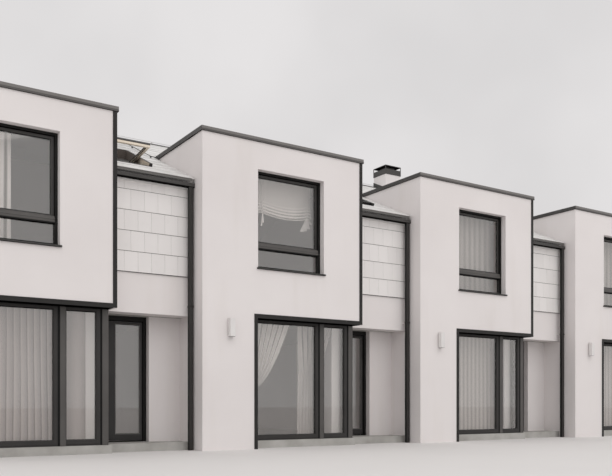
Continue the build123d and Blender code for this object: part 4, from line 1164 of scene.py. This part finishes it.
def shade_ribbons(start):
    """The ribbons that hold a tied-up shade, each with a knot and its tails."""
    surface = street(between(*extent(UPPER, "y"), 0.5) - RIBBON_FACE)
    shape = Shape()
    for knot_x, knot_z, tails in KNOTS:
        x = start + knot_x
        sizes = (KNOT_SIZE, KNOT_HEART)
        outer, inner = [(around(x, wide), around(knot_z, high)) for wide, high in sizes]
        shape.border(surface, outer, inner, KNOT_PROFILE)
        for sideways_by, length, width in tails:
            bend = (x + sideways_by * TAIL_BEND[0], knot_z - length * TAIL_BEND[1])
            end = (x + sideways_by, knot_z - length)
            bend_width = width * TAIL_BEND[2]
            ribbon(shape, surface, ((x, knot_z), bend), (TAIL_ROOT, bend_width), 0.004)
            ribbon(shape, surface, (bend, end), (bend_width, width), 0.006)
        upright = ((x, knot_z), (x, RIBBON_TOP))
        ribbon(shape, surface, upright, (RIBBON_WIDTH, RIBBON_WIDTH), 0.001)
    return shape.piece("shade_ribbons", PALE_CLOTH, "curtain")


def curtains():
    """The curtains of the four houses, from left to right."""
    lower, upper = extent(LOWER, "z"), extent(UPPER, "z")
    first, second, third, fourth = HOUSE_STARTS

    form = hanging(
        LOWER_LEFT, MAIN_LIGHT_RIGHT, lower, fold=0.109, depth=0.013, seed=1, crease=True)
    curtain("curtain_lower_1", form, LOWER, first, 2.6, LILAC_CLOTH)
    form = hanging(MAIN_LIGHT_RIGHT + 0.03, LOWER_RIGHT, lower, fold=0.3, depth=0.008, seed=2)
    curtain("curtain_lower_1_right", form, LOWER, first, 0.6, LILAC_CLOTH)
    form = hanging(UPPER_LEFT, 2.03, upper, fold=0.13, depth=0.016, seed=3)
    curtain("curtain_upper_1", form, UPPER, first, 1.3, PALE_CLOTH)

    form = tied(LOWER_LEFT, 2.2, tie_x=(LOWER_LEFT, 1.33), heights=lower, tie_z=1.15,
                folds=8, depth=0.03, seed=4)
    curtain("curtain_lower_2", form, LOWER, second, 1.7, PALE_CLOTH)
    form = tied(2.377, LOWER_RIGHT, tie_x=(2.6, 2.8), heights=lower, tie_z=1.55,
                folds=7, depth=0.024, seed=5, left_hangs=True)
    curtain("curtain_lower_2_right", form, LOWER, second, 1.7, SHEER_CLOTH)
    form = tied_up(UPPER_LEFT, UPPER_RIGHT, upper[1], seed=6)
    ribbons = shade_ribbons(second)
    curtain("curtain_upper_2", form, UPPER, second, 1.9, PALE_CLOTH)

    for house, start in ((3, third), (4, fourth)):
        form = hanging(LOWER_LEFT, MAIN_LIGHT_RIGHT, lower, fold=0.13, depth=0.005, seed=house * 2)
        curtain(f"curtain_lower_{house}", form, LOWER, start, 2.2, SHEER_CLOTH)
        form = hanging(UPPER_LEFT, UPPER_RIGHT, upper, fold=0.17, depth=0.006, seed=house * 2 + 1)
        curtain(f"curtain_upper_{house}", form, UPPER, start, 2.0, SHEER_CLOTH)


# Camera, light, ground and background
def camera():
    """The photograph's camera."""
    data = bpy.data.cameras.new("camera")
    data.lens = CAMERA_LENS
    data.shift_y = CAMERA_SHIFT
    data.clip_end = 500
    made = in_scene("camera", data)
    made.location = place(*CAMERA_PLACE)
    made.rotation_euler = (radians(90), 0, radians(-CAMERA_TURN))
    bpy.context.scene.camera = made


# The sky seen and its clouds, the sky that lights the row, and the sun behind a thin cloud
SKY_SHOWN = (0.70, 0.686, 0.688, 1)
CLOUD_SHOWN = (0.785, 0.768, 0.77, 1)
CLOUD_EDGE = (0.38, 0.66)
SKY_LIGHT = (0.93, 0.918, 0.912, 1)
SUN_TO = (0.05, -0.68, 0.73)
SUN_STRENGTH = 0.42
SUN_WIDTH = 60
SUN_COLOUR = (1.0, 0.965, 0.94)
GROUND_COLOUR = (0.72, 0.70, 0.69)
GROUND_REACH = 150


def light():
    """A wide soft sun, high on the street's side."""
    sun = bpy.data.lights.new("sun", "SUN")
    sun.energy = SUN_STRENGTH
    sun.angle = radians(SUN_WIDTH)
    sun.color = SUN_COLOUR
    in_scene("sun", sun).rotation_euler = Vector(SUN_TO).to_track_quat("Z", "Y").to_euler()


def sky():
    """A pale sky that lights the row, and a greyer one with faint clouds behind it."""
    world = bpy.data.worlds.new("sky")
    world.use_nodes = True
    tree = world.node_tree
    shining = tree.nodes["Background"]
    shining.inputs["Color"].default_value = SKY_LIGHT
    direction = output(tree, "TexCoord", "Generated")
    clouds = output(tree, "TexNoise", "Fac", Vector=direction, Scale=4, Roughness=0.45, Detail=3)
    cloudy = ramped(tree, clouds, *CLOUD_EDGE)
    heaven = output(tree, "MixRGB", "Color", Fac=cloudy, Color1=SKY_SHOWN, Color2=CLOUD_SHOWN)
    shown = output(tree, "Background", "Background", Color=heaven)
    rays = add_node(tree, "LightPath").outputs
    seen = calculated(tree, "MAXIMUM", rays["Is Camera Ray"], rays["Is Transmission Ray"])
    both = mixed(tree, seen, shining.outputs["Background"], shown)
    plug(tree, tree.nodes["World Output"].inputs["Surface"], both)
    bpy.context.scene.world = world


def ground():
    """A pale floor that only carries the row's shadow, not part of the object."""
    dark = [c * 0.98 for c in GROUND_COLOUR]
    material = clouded("pale_floor", (0.4, 3), dark, GROUND_COLOUR, Roughness=0.9)
    mesh = bpy.data.meshes.new("floor")
    reach = GROUND_REACH
    corners = [(-reach, -reach, 0), (reach, -reach, 0), (reach, reach, 0), (-reach, reach, 0)]
    mesh.from_pydata(corners, [], [(0, 1, 2, 3)])
    mesh.materials.append(material)
    in_scene("floor", mesh)


finish_nodes()
coping_drips()
cladding()
roof_tiles()
roof_seams()
windows()
door_dressing()
small_parts()
roof_window_trims()
curtains()
camera()
light()
sky()
ground()
bpy.context.scene.view_settings.view_transform = "Standard"
